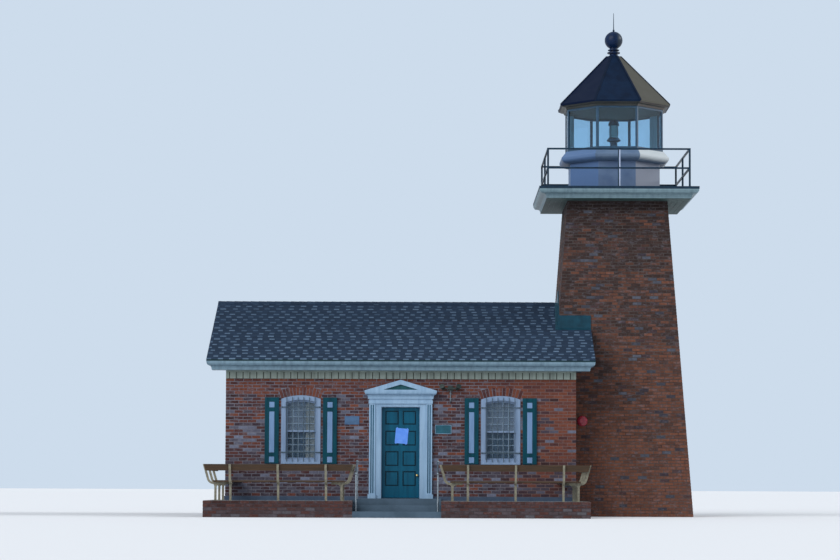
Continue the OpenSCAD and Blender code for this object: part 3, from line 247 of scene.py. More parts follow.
def sheet_paint(name, fresh, aged, roughness, patch=350, sunlit_colour=None, shaded=None, sheen=0.35):
    """Enamel sprayed or brushed on steel sheet and bar: smooth, harder and glossier than on wood,
    with chalking in patches and a faint orange-peel. Where the photograph shows the faces towards
    +x paler in sunlight, they get that painted sunlight, and where it shows those towards -x bluer
    in shade, they get that painted shade."""
    material, tree, shader, where = begin(name, Roughness=roughness, IOR=1.5,
                                          Specular_IOR_Level=sheen)
    chalk = add(tree, "ShaderNodeTexNoise",
                values={"Scale": per(patch), "Detail": 5, "Roughness": 0.55},
                links={"Vector": where})
    shade = add(tree, "ShaderNodeValToRGB", links={"Fac": chalk.outputs["Fac"]},
                stops=((0.35, aged), (0.62, fresh)))
    surface = shade.outputs["Color"]
    # Painted sunlight on the faces turned towards +x, and painted shade on those towards -x
    for side_colour, side in ((sunlit_colour, 1), (shaded, -1)):
        if side_colour:
            turned = add(tree, "ShaderNodeSeparateXYZ", links={
                "Vector": add(tree, "ShaderNodeNewGeometry").outputs["Normal"]})
            facing = add(tree, "ShaderNodeMapRange",
                         values={"From Min": side * TURN_FROM, "From Max": side * TURN_BY},
                         links={"Value": turned.outputs["X"]})
            changed = add(tree, "ShaderNodeMix", {"data_type": "RGBA"},
                          {MIX_B: colour(side_colour)},
                          {FACTOR: facing.outputs["Result"], MIX_A: surface})
            surface = changed.outputs[MIXED]
    tree.links.new(surface, shader.inputs["Base Color"])
    gloss = add(tree, "ShaderNodeMapRange",
                values={"To Min": roughness - 0.08, "To Max": roughness + 0.16},
                links={"Value": chalk.outputs["Fac"]})
    tree.links.new(gloss.outputs["Result"], shader.inputs["Roughness"])
    # Orange-peel is 2 or 3 mm, drawn at 14 mm to show
    peel = add(tree, "ShaderNodeTexNoise", values={"Scale": per(14), "Detail": 2},
               links={"Vector": where})
    skin = add(tree, "ShaderNodeBump", values={"Strength": 0.06, "Distance": 0.002},
               links={"Height": peel.outputs["Fac"]})
    tree.links.new(skin.outputs["Normal"], shader.inputs["Normal"])
    return material


def asphalt_shingle(name, tones):
    """Asphalt shingle faced with crushed slate: coarse, quite matt, each tab its own blend."""
    material, tree, shader, where = begin(name, Roughness=0.94, IOR=1.5, Specular_IOR_Level=0.2)
    tone = add(tree, "ShaderNodeAttribute", {"attribute_name": "tone"})
    blend = add(tree, "ShaderNodeValToRGB", links={"Fac": tone.outputs["Fac"]}, stops=tones)
    # Granules are 1 to 2 mm, drawn at 9 mm to show
    grain = add(tree, "ShaderNodeTexNoise",
                values={"Scale": per(9), "Detail": 2, "Roughness": 0.8}, links={"Vector": where})
    speck = add(tree, "ShaderNodeMapRange",
                values={"From Min": 0.4, "From Max": 0.75, "To Max": 0.35},
                links={"Value": grain.outputs["Fac"]})
    faced = add(tree, "ShaderNodeMix", {"data_type": "RGBA"}, {MIX_B: colour("#33485f")},
                {FACTOR: speck.outputs["Result"], MIX_A: blend.outputs["Color"]})
    tree.links.new(faced.outputs[MIXED], shader.inputs["Base Color"])
    stone = add(tree, "ShaderNodeBump", values={"Strength": 0.6, "Distance": 0.003},
                links={"Height": grain.outputs["Fac"]})
    tree.links.new(stone.outputs["Normal"], shader.inputs["Normal"])
    return material


def clear_glass(name, tint, roughness=0.02):
    """Drawn window glass: clear with a faint tint, and a slow ripple that bends what it mirrors."""
    material, tree, shader, where = begin(
        name, Roughness=roughness, IOR=1.45, Transmission_Weight=1.0, Base_Color=colour(tint))
    ripple = add(tree, "ShaderNodeTexNoise", values={"Scale": per(180), "Detail": 1},
                 links={"Vector": where})
    wave = add(tree, "ShaderNodeBump", values={"Strength": 0.05, "Distance": 0.004},
               links={"Height": ripple.outputs["Fac"]})
    tree.links.new(wave.outputs["Normal"], shader.inputs["Normal"])
    return material


def filmed_glass(name, film_and_reflection):
    """Old window glass under a dull film, with a painted reflection of the sky: pale and cloudy,
    with the dark room seen through it.
    """
    material, tree, shader, where = begin(name, Roughness=0.08, IOR=1.45, Alpha=0.3)
    haze = add(tree, "ShaderNodeTexNoise",
               values={"Scale": per(140), "Detail": 5, "Roughness": 0.6}, links={"Vector": where})
    # Its pale colour is partly a dull film and partly a painted reflection of the sky
    cloudy = add(tree, "ShaderNodeValToRGB", links={"Fac": haze.outputs["Fac"]},
                 stops=((0.3, "#465d74"), (0.7, film_and_reflection)))
    tree.links.new(cloudy.outputs["Color"], shader.inputs["Base Color"])
    return material


def office_paper(name, fresh, aged):
    """Uncoated printing paper: bright, quite matt, with faint waves where damp has cockled it."""
    material, tree, shader, where = begin(name, Roughness=0.85, IOR=1.5, Specular_IOR_Level=0.3)
    damp = add(tree, "ShaderNodeTexNoise",
               values={"Scale": per(120), "Detail": 3, "Roughness": 0.5}, links={"Vector": where})
    shade = add(tree, "ShaderNodeValToRGB", links={"Fac": damp.outputs["Fac"]},
                stops=((0.35, aged), (0.65, fresh)))
    tree.links.new(shade.outputs["Color"], shader.inputs["Base Color"])
    cockle = add(tree, "ShaderNodeBump", values={"Strength": 0.3, "Distance": 0.004},
                 links={"Height": damp.outputs["Fac"]})
    tree.links.new(cockle.outputs["Normal"], shader.inputs["Normal"])
    return material


def weathered_timber(name, pale, dark):
    """Sawn softwood left outdoors: long grain along the board, greyed ridges and dark checks."""
    material, tree, shader, where = begin(name, Roughness=0.8, IOR=1.5)
    tone = add(tree, "ShaderNodeAttribute", {"attribute_name": "along"})
    # Grain runs along x on the front boards and along y on the side ones
    along_x = add(tree, "ShaderNodeMapping", values={"Scale": (0.06, 1.0, 1.0)},
                  links={"Vector": where})
    along_y = add(tree, "ShaderNodeMapping", values={"Scale": (1.0, 0.06, 1.0)},
                  links={"Vector": where})
    along = add(tree, "ShaderNodeMix", {"data_type": "VECTOR"}, links={
        FACTOR: tone.outputs["Fac"], VECTOR_A: along_x.outputs["Vector"],
        VECTOR_B: along_y.outputs["Vector"]})
    # Growth rings are a few millimetres apart, drawn at 22 mm to show
    grain = add(tree, "ShaderNodeTexNoise",
                values={"Scale": per(22), "Detail": 8, "Roughness": 0.65},
                links={"Vector": along.outputs[VECTOR_MIXED]})
    shade = add(tree, "ShaderNodeValToRGB", links={"Fac": grain.outputs["Fac"]},
                stops=((0.32, dark), (0.62, pale)))
    tree.links.new(shade.outputs["Color"], shader.inputs["Base Color"])
    ridges = add(tree, "ShaderNodeBump", values={"Strength": 0.5, "Distance": 0.003},
                 links={"Height": grain.outputs["Fac"]})
    tree.links.new(ridges.outputs["Normal"], shader.inputs["Normal"])
    return material


def floated_concrete(name, pale, dark, slab=0):
    """Cast and wood-floated concrete: matt grey, cloudy, with pores and damp stains. Sawn joints
    part it into slabs of so many millimetres."""
    material, tree, shader, where = begin(name, Roughness=0.9, IOR=1.5, Specular_IOR_Level=0.3)
    cloud = add(tree, "ShaderNodeTexNoise",
                values={"Scale": per(500), "Detail": 9, "Roughness": 0.65},
                links={"Vector": where})
    shade = add(tree, "ShaderNodeValToRGB", links={"Fac": cloud.outputs["Fac"]},
                stops=((0.35, dark), (0.65, pale)))
    surface = shade.outputs["Color"]
    if slab:
        joints = add(tree, "ShaderNodeTexBrick", {"offset": 0.0}, {
            "Scale": 1.0, "Mortar Size": 0.006, "Brick Width": slab / 1000,
            "Row Height": slab / 1000, "Color1": colour("#ffffff"), "Color2": colour("#ffffff"),
            "Mortar": colour("#303438")}, {"Vector": where})
        scored = add(tree, "ShaderNodeMix", {"data_type": "RGBA", "blend_type": "MULTIPLY"},
                     {FACTOR: 1.0}, {MIX_A: surface, MIX_B: joints.outputs["Color"]})
        surface = scored.outputs[MIXED]
    tree.links.new(surface, shader.inputs["Base Color"])
    # Pores are a few millimetres, drawn at 12 mm to show
    pores = add(tree, "ShaderNodeTexNoise",
                values={"Scale": per(12), "Detail": 4, "Roughness": 0.7}, links={"Vector": where})
    rough = add(tree, "ShaderNodeBump", values={"Strength": 0.35, "Distance": 0.003},
                links={"Height": pores.outputs["Fac"]})
    tree.links.new(rough.outputs["Normal"], shader.inputs["Normal"])
    return material


def bare_metal(name, bright, dull, roughness, spangle=0):
    """Metal with no paint: reflects in its own colour, dulled by handling or, on galvanised steel,
    by zinc flowers of so many millimetres."""
    material, tree, shader, where = begin(name, Metallic=1.0, Roughness=roughness)
    if spangle:
        spots = add(tree, "ShaderNodeTexVoronoi", values={"Scale": per(spangle)},
                    links={"Vector": where})
        level = spots.outputs["Distance"]
    else:
        spots = add(tree, "ShaderNodeTexNoise", values={"Scale": per(30), "Detail": 6},
                    links={"Vector": where})
        level = spots.outputs["Fac"]
    shade = add(tree, "ShaderNodeValToRGB", links={"Fac": level},
                stops=((0.3, dull), (0.65, bright)))
    tree.links.new(shade.outputs["Color"], shader.inputs["Base Color"])
    worn = add(tree, "ShaderNodeMapRange",
               values={"To Min": roughness - 0.05, "To Max": roughness + 0.15},
               links={"Value": level})
    tree.links.new(worn.outputs["Result"], shader.inputs["Roughness"])
    return material


# Most colours below are the finishes as they look in blue shade: painted shade and sky cast over
# each finish's own colour
HOUSE_TONES = ((0.0, "#3a2729"), (0.2, "#553433"), (0.42, "#784636"), (0.55, "#523637"),
               (0.7, "#3b2d36"), (0.86, "#4f4b58"), (1.0, "#737a90"))
TOWER_TONES = ((0.0, "#2d2221"), (0.25, "#3e2f2c"), (0.45, "#6f4737"), (0.62, "#573c35"),
               (0.8, "#39323a"), (0.9, "#424550"), (1.0, "#5a5e6b"))
TERRACE_TONES = ((0.0, "#3a2625"), (0.35, "#523531"), (0.6, "#433435"), (0.8, "#52494e"),
                 (0.9, "#555359"), (1.0, "#7d7672"))
SLATE_TONES = ((0.0, "#142335"), (0.35, "#1d2f45"), (0.65, "#3c5168"), (1.0, "#7088a0"))

house_brick = brick_clay("house_clay_brick", HOUSE_TONES, bloom=0.6, house=True)
tower_brick = brick_clay("tower_clay_brick", TOWER_TONES, bloom=0.4)
terrace_brick = brick_clay("terrace_clay_brick", TERRACE_TONES, bloom=0.25)
house_mortar = lime_mortar("house_lime_mortar", "#7b7c87", "#5b5c67", reddened="#6d5a58")
# The tower's mortar is dark: painted shade in its raked joints
tower_mortar = lime_mortar("tower_lime_mortar", "#55504f", "#2b2627")
terrace_mortar = lime_mortar("terrace_lime_mortar", "#454044", "#333034")
trim_paint = oil_paint("cream_oil_paint", "#8faeca", "#7e9ebc", 0.42)
window_paint = oil_paint("window_oil_paint", "#7f96b4", "#7088a7", 0.42)
cornice_paint = oil_paint("cornice_oil_paint", "#728d9e", "#5f7787", 0.48)
frieze_paint = oil_paint("frieze_oil_paint", "#8b9790", "#747f79", 0.5)
# Painted shade for deep in the frieze's grooves
groove_shade_paint = oil_paint("groove_shade_oil_paint", "#3d443b", "#2d332c", 0.6)
door_paint = oil_paint("teal_gloss_paint", "#04536e", "#03445c", 0.3, relief=0.08, sheen=0.2)
# Painted shade for the grooves round the door's panels
quirk_shade_paint = oil_paint("teal_quirk_shade_paint", "#032936", "#021e29", 0.4, relief=0.08, sheen=0.15)
shutter_paint = oil_paint("teal_shutter_paint", "#034250", "#02323f", 0.4, sheen=0.15)
panel_green = oil_paint("pediment_green_paint", "#21525a", "#1b464e", 0.45, sheen=0.2)
# Painted sunlight on the lantern wall's and ledge's faces towards +x, and painted shade on those
# towards -x
wall_enamel = sheet_paint("lantern_wall_enamel", "#597090", "#4b6284", 0.4, sunlit_colour="#6d7688",
                          shaded="#476590")
ledge_enamel = sheet_paint("lantern_ledge_enamel", "#61768f", "#526884", 0.4, sunlit_colour="#b4bcc0",
                           shaded="#4f6b92")
deck_paint = oil_paint("gallery_oil_paint", "#6f8892", "#5f7782", 0.48)
# Painted shade: the boards under the gallery and on the lantern's ceiling are dark
soffit_shade_paint = oil_paint("soffit_shade_oil_paint", "#405858", "#344647", 0.6, sheen=0.15)
ceiling_shade_paint = oil_paint("lantern_ceiling_shade_paint", "#324537", "#263628", 0.6, sheen=0.15)
jamb_paint = oil_paint("lantern_jamb_paint", "#86bbc8", "#74a6b4", 0.5, sheen=0.2)
# Painted sunlight on the lantern cornice's faces towards +x
eave_enamel = sheet_paint("lantern_eave_enamel", "#3f4240", "#313432", 0.45, sunlit_colour="#5f5852")
iron_paint = sheet_paint("dark_iron_enamel", "#142f42", "#0e2334", 0.38, patch=120, sheen=0.2)
lantern_iron = sheet_paint("lantern_post_enamel", "#2b4a62", "#223c52", 0.38, patch=120)
# Painted sunlight on the lantern roof's faces towards +x, and painted shade on those towards -x
roofing = sheet_paint("lantern_roof_enamel", "#102138", "#0b182c", 0.42, patch=260,
                      sunlit_colour="#4b4a43", shaded="#04112a", sheen=0.06)
rib_enamel = sheet_paint("roof_rib_enamel", "#0f1c30", "#0b1626", 0.5, patch=260, sheen=0.06)
# Painted sunlight on the ball's faces towards +x
ball_enamel = sheet_paint("ball_vent_enamel", "#0b2142", "#081a34", 0.34, patch=80,
                          sunlit_colour="#222d3a", sheen=0.15)
flashing_paint = sheet_paint("flashing_enamel", "#0d3d4e", "#093140", 0.4, patch=160, sheen=0.2)
bell_enamel = sheet_paint("bell_red_enamel", "#9c2438", "#7c1d2e", 0.2, patch=60, sheen=0.5)
grille_enamel = sheet_paint("window_grille_enamel", "#465763", "#384853", 0.45, patch=90, sheen=0.2)
lamp_enamel = sheet_paint("floodlight_enamel", "#303d3b", "#25302e", 0.4, patch=40)
# Painted highlight for the sunlit right side of the railing's middle post
post_highlight_enamel = sheet_paint("railing_post_highlight_enamel", "#a9b6cf", "#97a5c0", 0.4, patch=60)
muntin_paint = oil_paint("muntin_oil_paint", "#7b91a6", "#6c8296", 0.42)
drip_enamel = sheet_paint("drip_edge_enamel", "#143037", "#0f262c", 0.4, patch=120, sheen=0.2)
inset_paint = oil_paint("shutter_inset_paint", "#6f90b8", "#6383ab", 0.42)
# Painted light: the narrow blind's pale colour stands for daylight seen through the room
daylight_blind_paint = sheet_paint("daylight_blind_enamel", "#e2e6d8", "#cdd2c6", 0.4)
shingle = asphalt_shingle("asphalt_shingle", SLATE_TONES)
pane_glass = filmed_glass("window_pane_glass", "#4c6a85")
blind_enamel = sheet_paint("blind_slat_enamel", "#d6e6fa", "#c3d6ec", 0.4)
lantern_pane = clear_glass("lantern_pane_glass", "#c6e2f3")
lens_glass = clear_glass("lens_glass", "#5c7c80", 0.06)
bench_board = weathered_timber("bench_board_timber", "#422d18", "#2a1f12")
# Painted sunlight on the bench frames' faces towards +x
bench_steel = sheet_paint("bench_steel_enamel", "#827f6e", "#69665a", 0.5, patch=60,
                          sunlit_colour="#a8a190")
step_concrete = floated_concrete("step_concrete", "#4c5f70", "#3d4f5e")
plinth_concrete = floated_concrete("plinth_render", "#46566b", "#38465a")
paving = floated_concrete("terrace_paving_concrete", "#66717c", "#525c66", slab=1200)
floor_slab = floated_concrete("floor_concrete", "#6a6d70", "#55585a")
brass = bare_metal("door_brass", "#c9b27a", "#8f7a4a", 0.28)
steel = bare_metal("hinge_steel", "#a5a8ab", "#7c8084", 0.34)
zinc = bare_metal("galvanised_steel", "#8a939a", "#646c73", 0.42, spangle=18)
paper = office_paper("plain_paper", "#6a9df5", "#5c91ee")
plaque_grey = sheet_paint("plaque_grey_enamel", "#47688c", "#3c5a7c", 0.4, patch=90)
plaque_green = sheet_paint("plaque_green_enamel", "#17586a", "#124a5a", 0.4, patch=90)

for finish, names in (
        (plinth_concrete, "foundation"), (floor_slab, "house_floor tower_floor"),
        (house_mortar, "front_wall_left front_wall_right front_wall_over_door back_wall"
                       " left_gable_wall right_gable_wall"),
        (tower_mortar, "tower_front_wall tower_back_wall tower_left_wall tower_right_wall"),
        (frieze_paint, "wall_friezes"), (cornice_paint, "eave_cornices rake_boards"),
        (drip_enamel, "roof_front roof_back"), (shingle, "ridge_cap"),
        (flashing_paint, "tower_flashing"), (window_paint, "window_frames window_sashes"),
        (pane_glass, "window_glass"), (shutter_paint, "window_shutters"),
        (trim_paint, "door_frame door_surround"), (panel_green, "pediment_panel"),
        (door_paint, "front_door"), (brass, "door_knob"), (steel, "hinge_pins hinge_leaves"),
        (deck_paint, "gallery_cornice"),
        (iron_paint, "gallery_deck railing_front railing_back railing_left railing_right"
                     " lightning_rod"),
        (wall_enamel, "lantern_wall"), (ledge_enamel, "lantern_ledge"),
        (lantern_iron, "lantern_frame beacon_pedestal"), (lantern_pane, "lantern_glass"),
        (eave_enamel, "lantern_cornice"), (roofing, "lantern_roof"), (rib_enamel, "roof_ribs"),
        (ball_enamel, "ball_vent"), (lens_glass, "beacon_lens"), (bell_enamel, "alarm_bell"),
        (lamp_enamel, "floodlights"), (terrace_mortar, "terrace_walls"),
        (paving, "terrace_paving"), (step_concrete, "front_steps"), (zinc, "step_handrails"),
        (bench_steel, "bench_frames"), (bench_board, "bench_seats bench_backs")):
    for name in names.split():
        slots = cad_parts[name].data.materials
        slots.clear()
        slots.append(finish)


# ---- making solids ----

class Batch:
    """Gathers many small closed solids into one mesh, each with a tone of its own."""

    def __init__(self):
        self.points, self.faces, self.tones, self.along = [], [], [], []

    def loft(self, rings, tone=0.5, along=0.0):
        """A closed solid through rings of points, anticlockwise as seen from the last one."""
        first, count = len(self.points), len(rings[0])
        for ring in rings:
            self.points.extend(ring)
        self.faces.append([first + i for i in reversed(range(count))])
        for r in range(len(rings) - 1):
            start = first + r * count
            for i in range(count):
                j = (i + 1) % count
                self.faces.append((start + i, start + j, start + count + j, start + count + i))
        last = first + (len(rings) - 1) * count
        self.faces.append([last + i for i in range(count)])
        self.tones.extend((tone if isinstance(tone, list) else [tone] * count) * len(rings))
        self.along.extend([along] * count * len(rings))

    def slab(self, face, corners, back, front, chamfer, tone=0.5, along=0.0):
        """A plate on a face, between two distances out of it, with a chamfered front."""
        mid_u = sum(c[0] for c in corners) / len(corners)
        mid_v = sum(c[1] for c in corners) / len(corners)
        inner = [(u - math.copysign(chamfer, u - mid_u), v - math.copysign(chamfer, v - mid_v))
                 for u, v in corners]
        self.loft([[face(u, v, back) for u, v in corners],
                   [face(u, v, front - chamfer) for u, v in corners],
                   [face(u, v, front) for u, v in inner]], tone, along)

    def bar(self, path, radii, sides=10):
        """A round bar, or any turned form, along a path with a radius at each point."""
        path = [Vector(p) for p in path]
        rings, side = [], None
        for i, point in enumerate(path):
            ahead = path[min(i + 1, len(path) - 1)] - path[max(i - 1, 0)]
            ahead.normalize()
            if side is None:
                side = ahead.orthogonal().normalized()
            side = (side - ahead * side.dot(ahead)).normalized()
            up = ahead.cross(side)
            rings.append([point + radii[i] * (side * math.cos(a) + up * math.sin(a))
                          for a in (2 * math.pi * k / sides for k in range(sides))])
        self.loft(rings)

    def piece(self, name, finish, slot, body="building", smooth=False):
        """The gathered solids as one object that rides on a body."""
        mesh = bpy.data.meshes.new(name)
        mesh.from_pydata([tuple(p) for p in self.points], [], self.faces)
        for key, values in (("tone", self.tones), ("along", self.along)):
            mesh.attributes.new(key, "FLOAT", "POINT").data.foreach_set("value", values)
        mesh.materials.append(finish)
        made = bpy.data.objects.new(name, mesh)
        bpy.context.scene.collection.objects.link(made)
        if smooth:
            mesh.shade_smooth()
            mesh.set_sharp_from_angle(angle=math.radians(40))
        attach(made, body)
        return made


def rectangle(u0, u1, v0, v1):
    """A rectangle's corners, anticlockwise from the lowest left one."""
    return [(u0, v0), (u1, v0), (u1, v1), (u0, v1)]


def centred(u, v, half_u, half_v):
    """The corners of a rectangle about its middle."""
    return rectangle(u - half_u, u + half_u, v - half_v, v + half_v)


def border(u0, u1, v0, v1, rim, gap=0.0):
    """The four strips of a rim inside a rectangle, with a gap kept clear along its edges."""
    return (rectangle(u0 + gap, u1 - gap, v0 + gap, v0 + rim - gap),
            rectangle(u0 + gap, u1 - gap, v1 - rim + gap, v1 - gap),
            rectangle(u0 + gap, u0 + rim - gap, v0 + rim, v1 - rim),
            rectangle(u1 - rim + gap, u1 - gap, v0 + rim, v1 - rim))


def wall_face(place):
    """The brick face at a window or a wall: u to the right as seen from outside, z up, and out."""
    x, y, turn = place
    right = Matrix.Rotation(math.radians(turn), 3, "Z") @ Vector((1, 0, 0))
    inward = Matrix.Rotation(math.radians(turn), 3, "Z") @ Vector((0, 1, 0))
    return lambda u, z, out: Vector((x, y, z)) + right * u - inward * out


def tower_half(z):
    """Half the tower's width at a height."""
    return TOWER_BASE + (TOWER_TOP - TOWER_BASE) * z / TOWER_H


def tower_face(turn):
    """One of the tower's leaning faces, turned about the tower's axis."""
    spin = Matrix.Rotation(math.radians(turn), 3, "Z")
    return lambda u, z, out: spin @ Vector((u, -tower_half(z) - out, z))


def roof_top(y):
    """The height of the roof's deck at a distance from the ridge."""
    return RIDGE_Z - abs(y) * math.tan(PITCH)


# ---- brickwork ----

BRICK_L, BRICK_H, JOINT = 0.197, 0.062, 0.013
COURSE = BRICK_H + JOINT
HEADER = (BRICK_L - JOINT) / 2
# How far a brick stands out of the mortar, its worn edge, and how deep it is bedded
PROUD, WEAR, BEDDED = 0.004, 0.003, 0.002
# How far its corners and its face stray, being laid by hand
CORNER_STRAY, FACE_STRAY = 0.0015, 0.001
# The shortest and the lowest piece that is laid, and how much longer than a brick the middle one
# of a course may be
SHORTEST, LOWEST, STRETCH = 0.035, 0.02, 0.07
ARCH_PROUD = PROUD + 0.002


def course_bricks(u0, u1, row):
    """Ends of one course's bricks: laid from both corners, with the cut ones in the middle."""
    bricks, start, end = [], 0.0, (HEADER if row % 2 else BRICK_L)
    half = (u1 - u0) / 2
    while end < half - SHORTEST:
        bricks += [(u0 + start, u0 + end), (u1 - end, u1 - start)]
        start = end + JOINT
        end = start + BRICK_L
    gap0, gap1 = u0 + start, u1 - start
    parts = max(1, math.ceil((gap1 - gap0) / (BRICK_L + STRETCH)))
    width = (gap1 - gap0 - (parts - 1) * JOINT) / parts
    starts = [gap0 + i * (width + JOINT) for i in range(parts)]
    bricks += [(start, start + width) for start in starts]
    return bricks


def cut_out(bricks, gaps):
    """Takes openings out of a course."""
    for a, b in gaps:
        kept = []
        for u0, u1 in bricks:
            if u1 <= a or u0 >= b:
                kept.append((u0, u1))
                continue
            kept += [(s, e) for s, e in ((u0, a), (b, u1)) if e - s > SHORTEST]
        bricks = kept
    return bricks


def lay_bricks(batch, face, z_range, span, tone_at, rng, gaps=None, crop=None):
    """Lays courses of bricks on a face, inside its span at each height."""
    z_from, z_to = z_range
    for row in range(int((z_to - z_from) / COURSE) + 1):
        z0 = z_from + row * COURSE + JOINT / 2
        z1 = min(z0 + BRICK_H, z_to)
        mid = (z0 + z1) / 2
        u_span = span(mid)
        if z1 - z0 < LOWEST or u_span[1] - u_span[0] < SHORTEST:
            continue
        for a, b in cut_out(course_bricks(*u_span, row), gaps(mid) if gaps else ()):
            corners = [(u + rng.uniform(-1, 1) * CORNER_STRAY,
                        z + rng.uniform(-1, 1) * CORNER_STRAY)
                       for u, z in rectangle(a, b, z0, z1)]
            tone = tone_at((a + b) / 2, mid, rng)
            out = PROUD + rng.uniform(-FACE_STRAY, FACE_STRAY)
            if crop:
                corners = [(u, crop(u, z)) for u, z in corners]
                if max(c[1] for c in corners) - min(c[1] for c in corners) < LOWEST:
                    continue
            batch.slab(face, corners, -BEDDED, out, WEAR, tone)


# The house's kinds of brick, as ranges of HOUSE_TONES, and the heights that part them
LIMED, TOP_ORANGE, END_ORANGE, PLUM = (0.86, 1.0), (0.15, 0.5), (0.26, 0.5), (0.58, 0.9)
END_ORANGE_Z, PLUM_Z, LIMED_Z, ORANGE_Z = 1.3, 1.7, 2.4, 2.85
END_ORANGE_U = 2.9


def house_tone(u, z, rng):
    """Orange at the top and the right end of the wall, plum and limed lower down, in patches."""
    patch = noise.noise(Vector((u * 0.8, z * 1.3, 4.0)))
    redder = min(1.0, max(0.0, u - END_ORANGE_U)) if z > END_ORANGE_Z else 0.0
    limed = 0.10 + 0.45 * max(0.0, patch) * (1.5 if z < LIMED_Z else 0.6)
    if z < ORANGE_Z and rng.random() < limed * (1 - 0.7 * redder):
        return rng.uniform(*LIMED)
    if z > ORANGE_Z:
        return rng.uniform(*TOP_ORANGE)
    if rng.random() < 0.85 * redder:
        return rng.uniform(*END_ORANGE)
    if rng.random() < 0.7 * min(1.0, max(0.0, PLUM_Z - z)):
        return rng.uniform(*PLUM)
    return min(0.86, max(0.0, rng.uniform(0.0, 0.82) + 0.12 * patch))


# The tower's kinds of brick, as ranges of TOWER_TONES, and the height of its top courses that
# # get the gallery's painted shadow
GALLERY_SHADOW_TONES, GREY, ORANGE = (0.0, 0.08), (0.86, 0.97), (0.45, 0.86)
GALLERY_SHADOW_H = 0.24


def tower_tone(u, z, rng):
    """Even dark reds, with a few orange and a few grey bricks, redder towards the foot. The courses
    under the gallery are darker, as they are in the photograph: the gallery's painted shadow."""
    patch = noise.noise(Vector((u * 0.7, z * 0.8, 9.0)))
    # Painted shadow of the gallery on the top courses
    if z > TOWER_H - GALLERY_SHADOW_H:
        return rng.uniform(*GALLERY_SHADOW_TONES)
    if rng.random() < 0.02 + 0.05 * max(0.0, patch):
        return rng.uniform(*GREY)
    low = max(0.0, 1 - z / TOWER_H)
    if rng.random() < 0.12:
        return rng.uniform(*ORANGE)
    return min(0.6, max(0.0, rng.uniform(0.04 + 0.38 * low, 0.3 + 0.28 * low) + 0.1 * patch))


def terrace_tone(u, z, rng):
    """Redder towards the top, purple and dusty towards the ground."""
    return rng.uniform(0.0, 0.5) if z > 0.2 else rng.uniform(0.3, 0.9)


ARCH_H = 0.205
ARCH_ANGLE = math.asin(WINDOW_HALF / WINDOW_R)


def window_gap(centres):
    """The openings that windows and their arches leave in a course, at a height."""
    def gaps(z):
        outer = WINDOW_R + ARCH_H + JOINT / 2
        if z < WINDOW_Z or z > ARCH_Z + outer:
            return []
        half = WINDOW_HALF
        if z > ARCH_Z + WINDOW_R * math.cos(ARCH_ANGLE):
            half = min(math.tan(ARCH_ANGLE) * (z - ARCH_Z),
                       math.sqrt(outer ** 2 - (z - ARCH_Z) ** 2))
        half += JOINT / 2
        return [(c - half, c + half) for c in centres]
    return gaps


def front_gaps(z):
    """The openings that the front's windows and door surround leave in a course."""
    gaps = window_gap((-WINDOW_OFF, WINDOW_OFF))(z)
    if z < PILASTER_TOP:
        middle = DOOR_CX - HOUSE_CX
        gaps.append((middle - SURROUND_HALF + JOINT, middle + SURROUND_HALF - JOINT))
    return gaps


def gable_top(u):
    """The underside of the rake's soffit boards."""
    return roof_top(u) - ROOF_T / math.cos(PITCH) - RAKE_SOFFIT_T


house_half = (HOUSE_X1 - HOUSE_X0) / 2
front_face = wall_face((HOUSE_CX, -HALF_DEPTH, 0))
back_face = wall_face((HOUSE_CX, HALF_DEPTH, 180))
gable_face = wall_face((HOUSE_X0, 0, -90))
right_face = wall_face((HOUSE_X1, 0, 90))


def lay_house():
    """Both long walls and the two gables. The right gable shows only beside the tower."""
    windows = window_gap((-WINDOW_OFF, WINDOW_OFF))
    for name, face, gaps, seed in (("house_front_bricks", front_face, front_gaps, 11),
                                   ("house_back_bricks", back_face, windows, 12)):
        batch = Batch()
        lay_bricks(batch, face, (PLINTH_Z, SOFFIT_Z),
                   lambda z: (-house_half - PROUD, house_half + PROUD), house_tone,
                   random.Random(seed), gaps)
        batch.piece(name, house_brick, "brick_house")

    def under_rake(u, z):
        return min(z, gable_top(u))

    batch = Batch()
    rng = random.Random(13)
    lay_bricks(batch, gable_face, (PLINTH_Z, gable_top(0)), lambda z: (-HALF_DEPTH, HALF_DEPTH),
               house_tone, rng, window_gap((0.0,)), under_rake)
    batch.piece("left_gable_bricks", house_brick, "brick_house")

    batch = Batch()
    for side in (-1, 1):
        lay_bricks(batch, right_face, (PLINTH_Z, gable_top(tower_half(SOFFIT_Z))),
                   lambda z: sorted((side * (tower_half(z) + JOINT / 2), side * HALF_DEPTH)),
                   house_tone, rng, None, under_rake)
    batch.piece("right_gable_bricks", house_brick, "brick_house")


def lay_tower():
    """Four leaning faces. The house hides the left ones below its roof."""
    # A little below the line where the roof meets the tower, which is about 4.5 m up
    roof_foot = roof_top(tower_half(4.5)) - 0.05
    beyond = TOWER_BASE + 1
    joint = HOUSE_X1 + JOINT / 2
    covered = {0: [(-beyond, joint)], 180: [(-joint, beyond)], -90: [(-beyond, beyond)], 90: []}
    for name, turn, seed in (("tower_front_bricks", 0, 21), ("tower_right_bricks", 90, 22),
                             ("tower_back_bricks", 180, 23), ("tower_left_bricks", -90, 24)):
        batch = Batch()
        corner = PROUD if turn in (0, 180) else 0.0
        lay_bricks(batch, tower_face(turn), (0.0, TOWER_H),
                   lambda z: (-tower_half(z) - corner, tower_half(z) + corner), tower_tone,
                   random.Random(seed), lambda z: [] if z > roof_foot else covered[turn])
        batch.piece(name, tower_brick, "brick_tower")


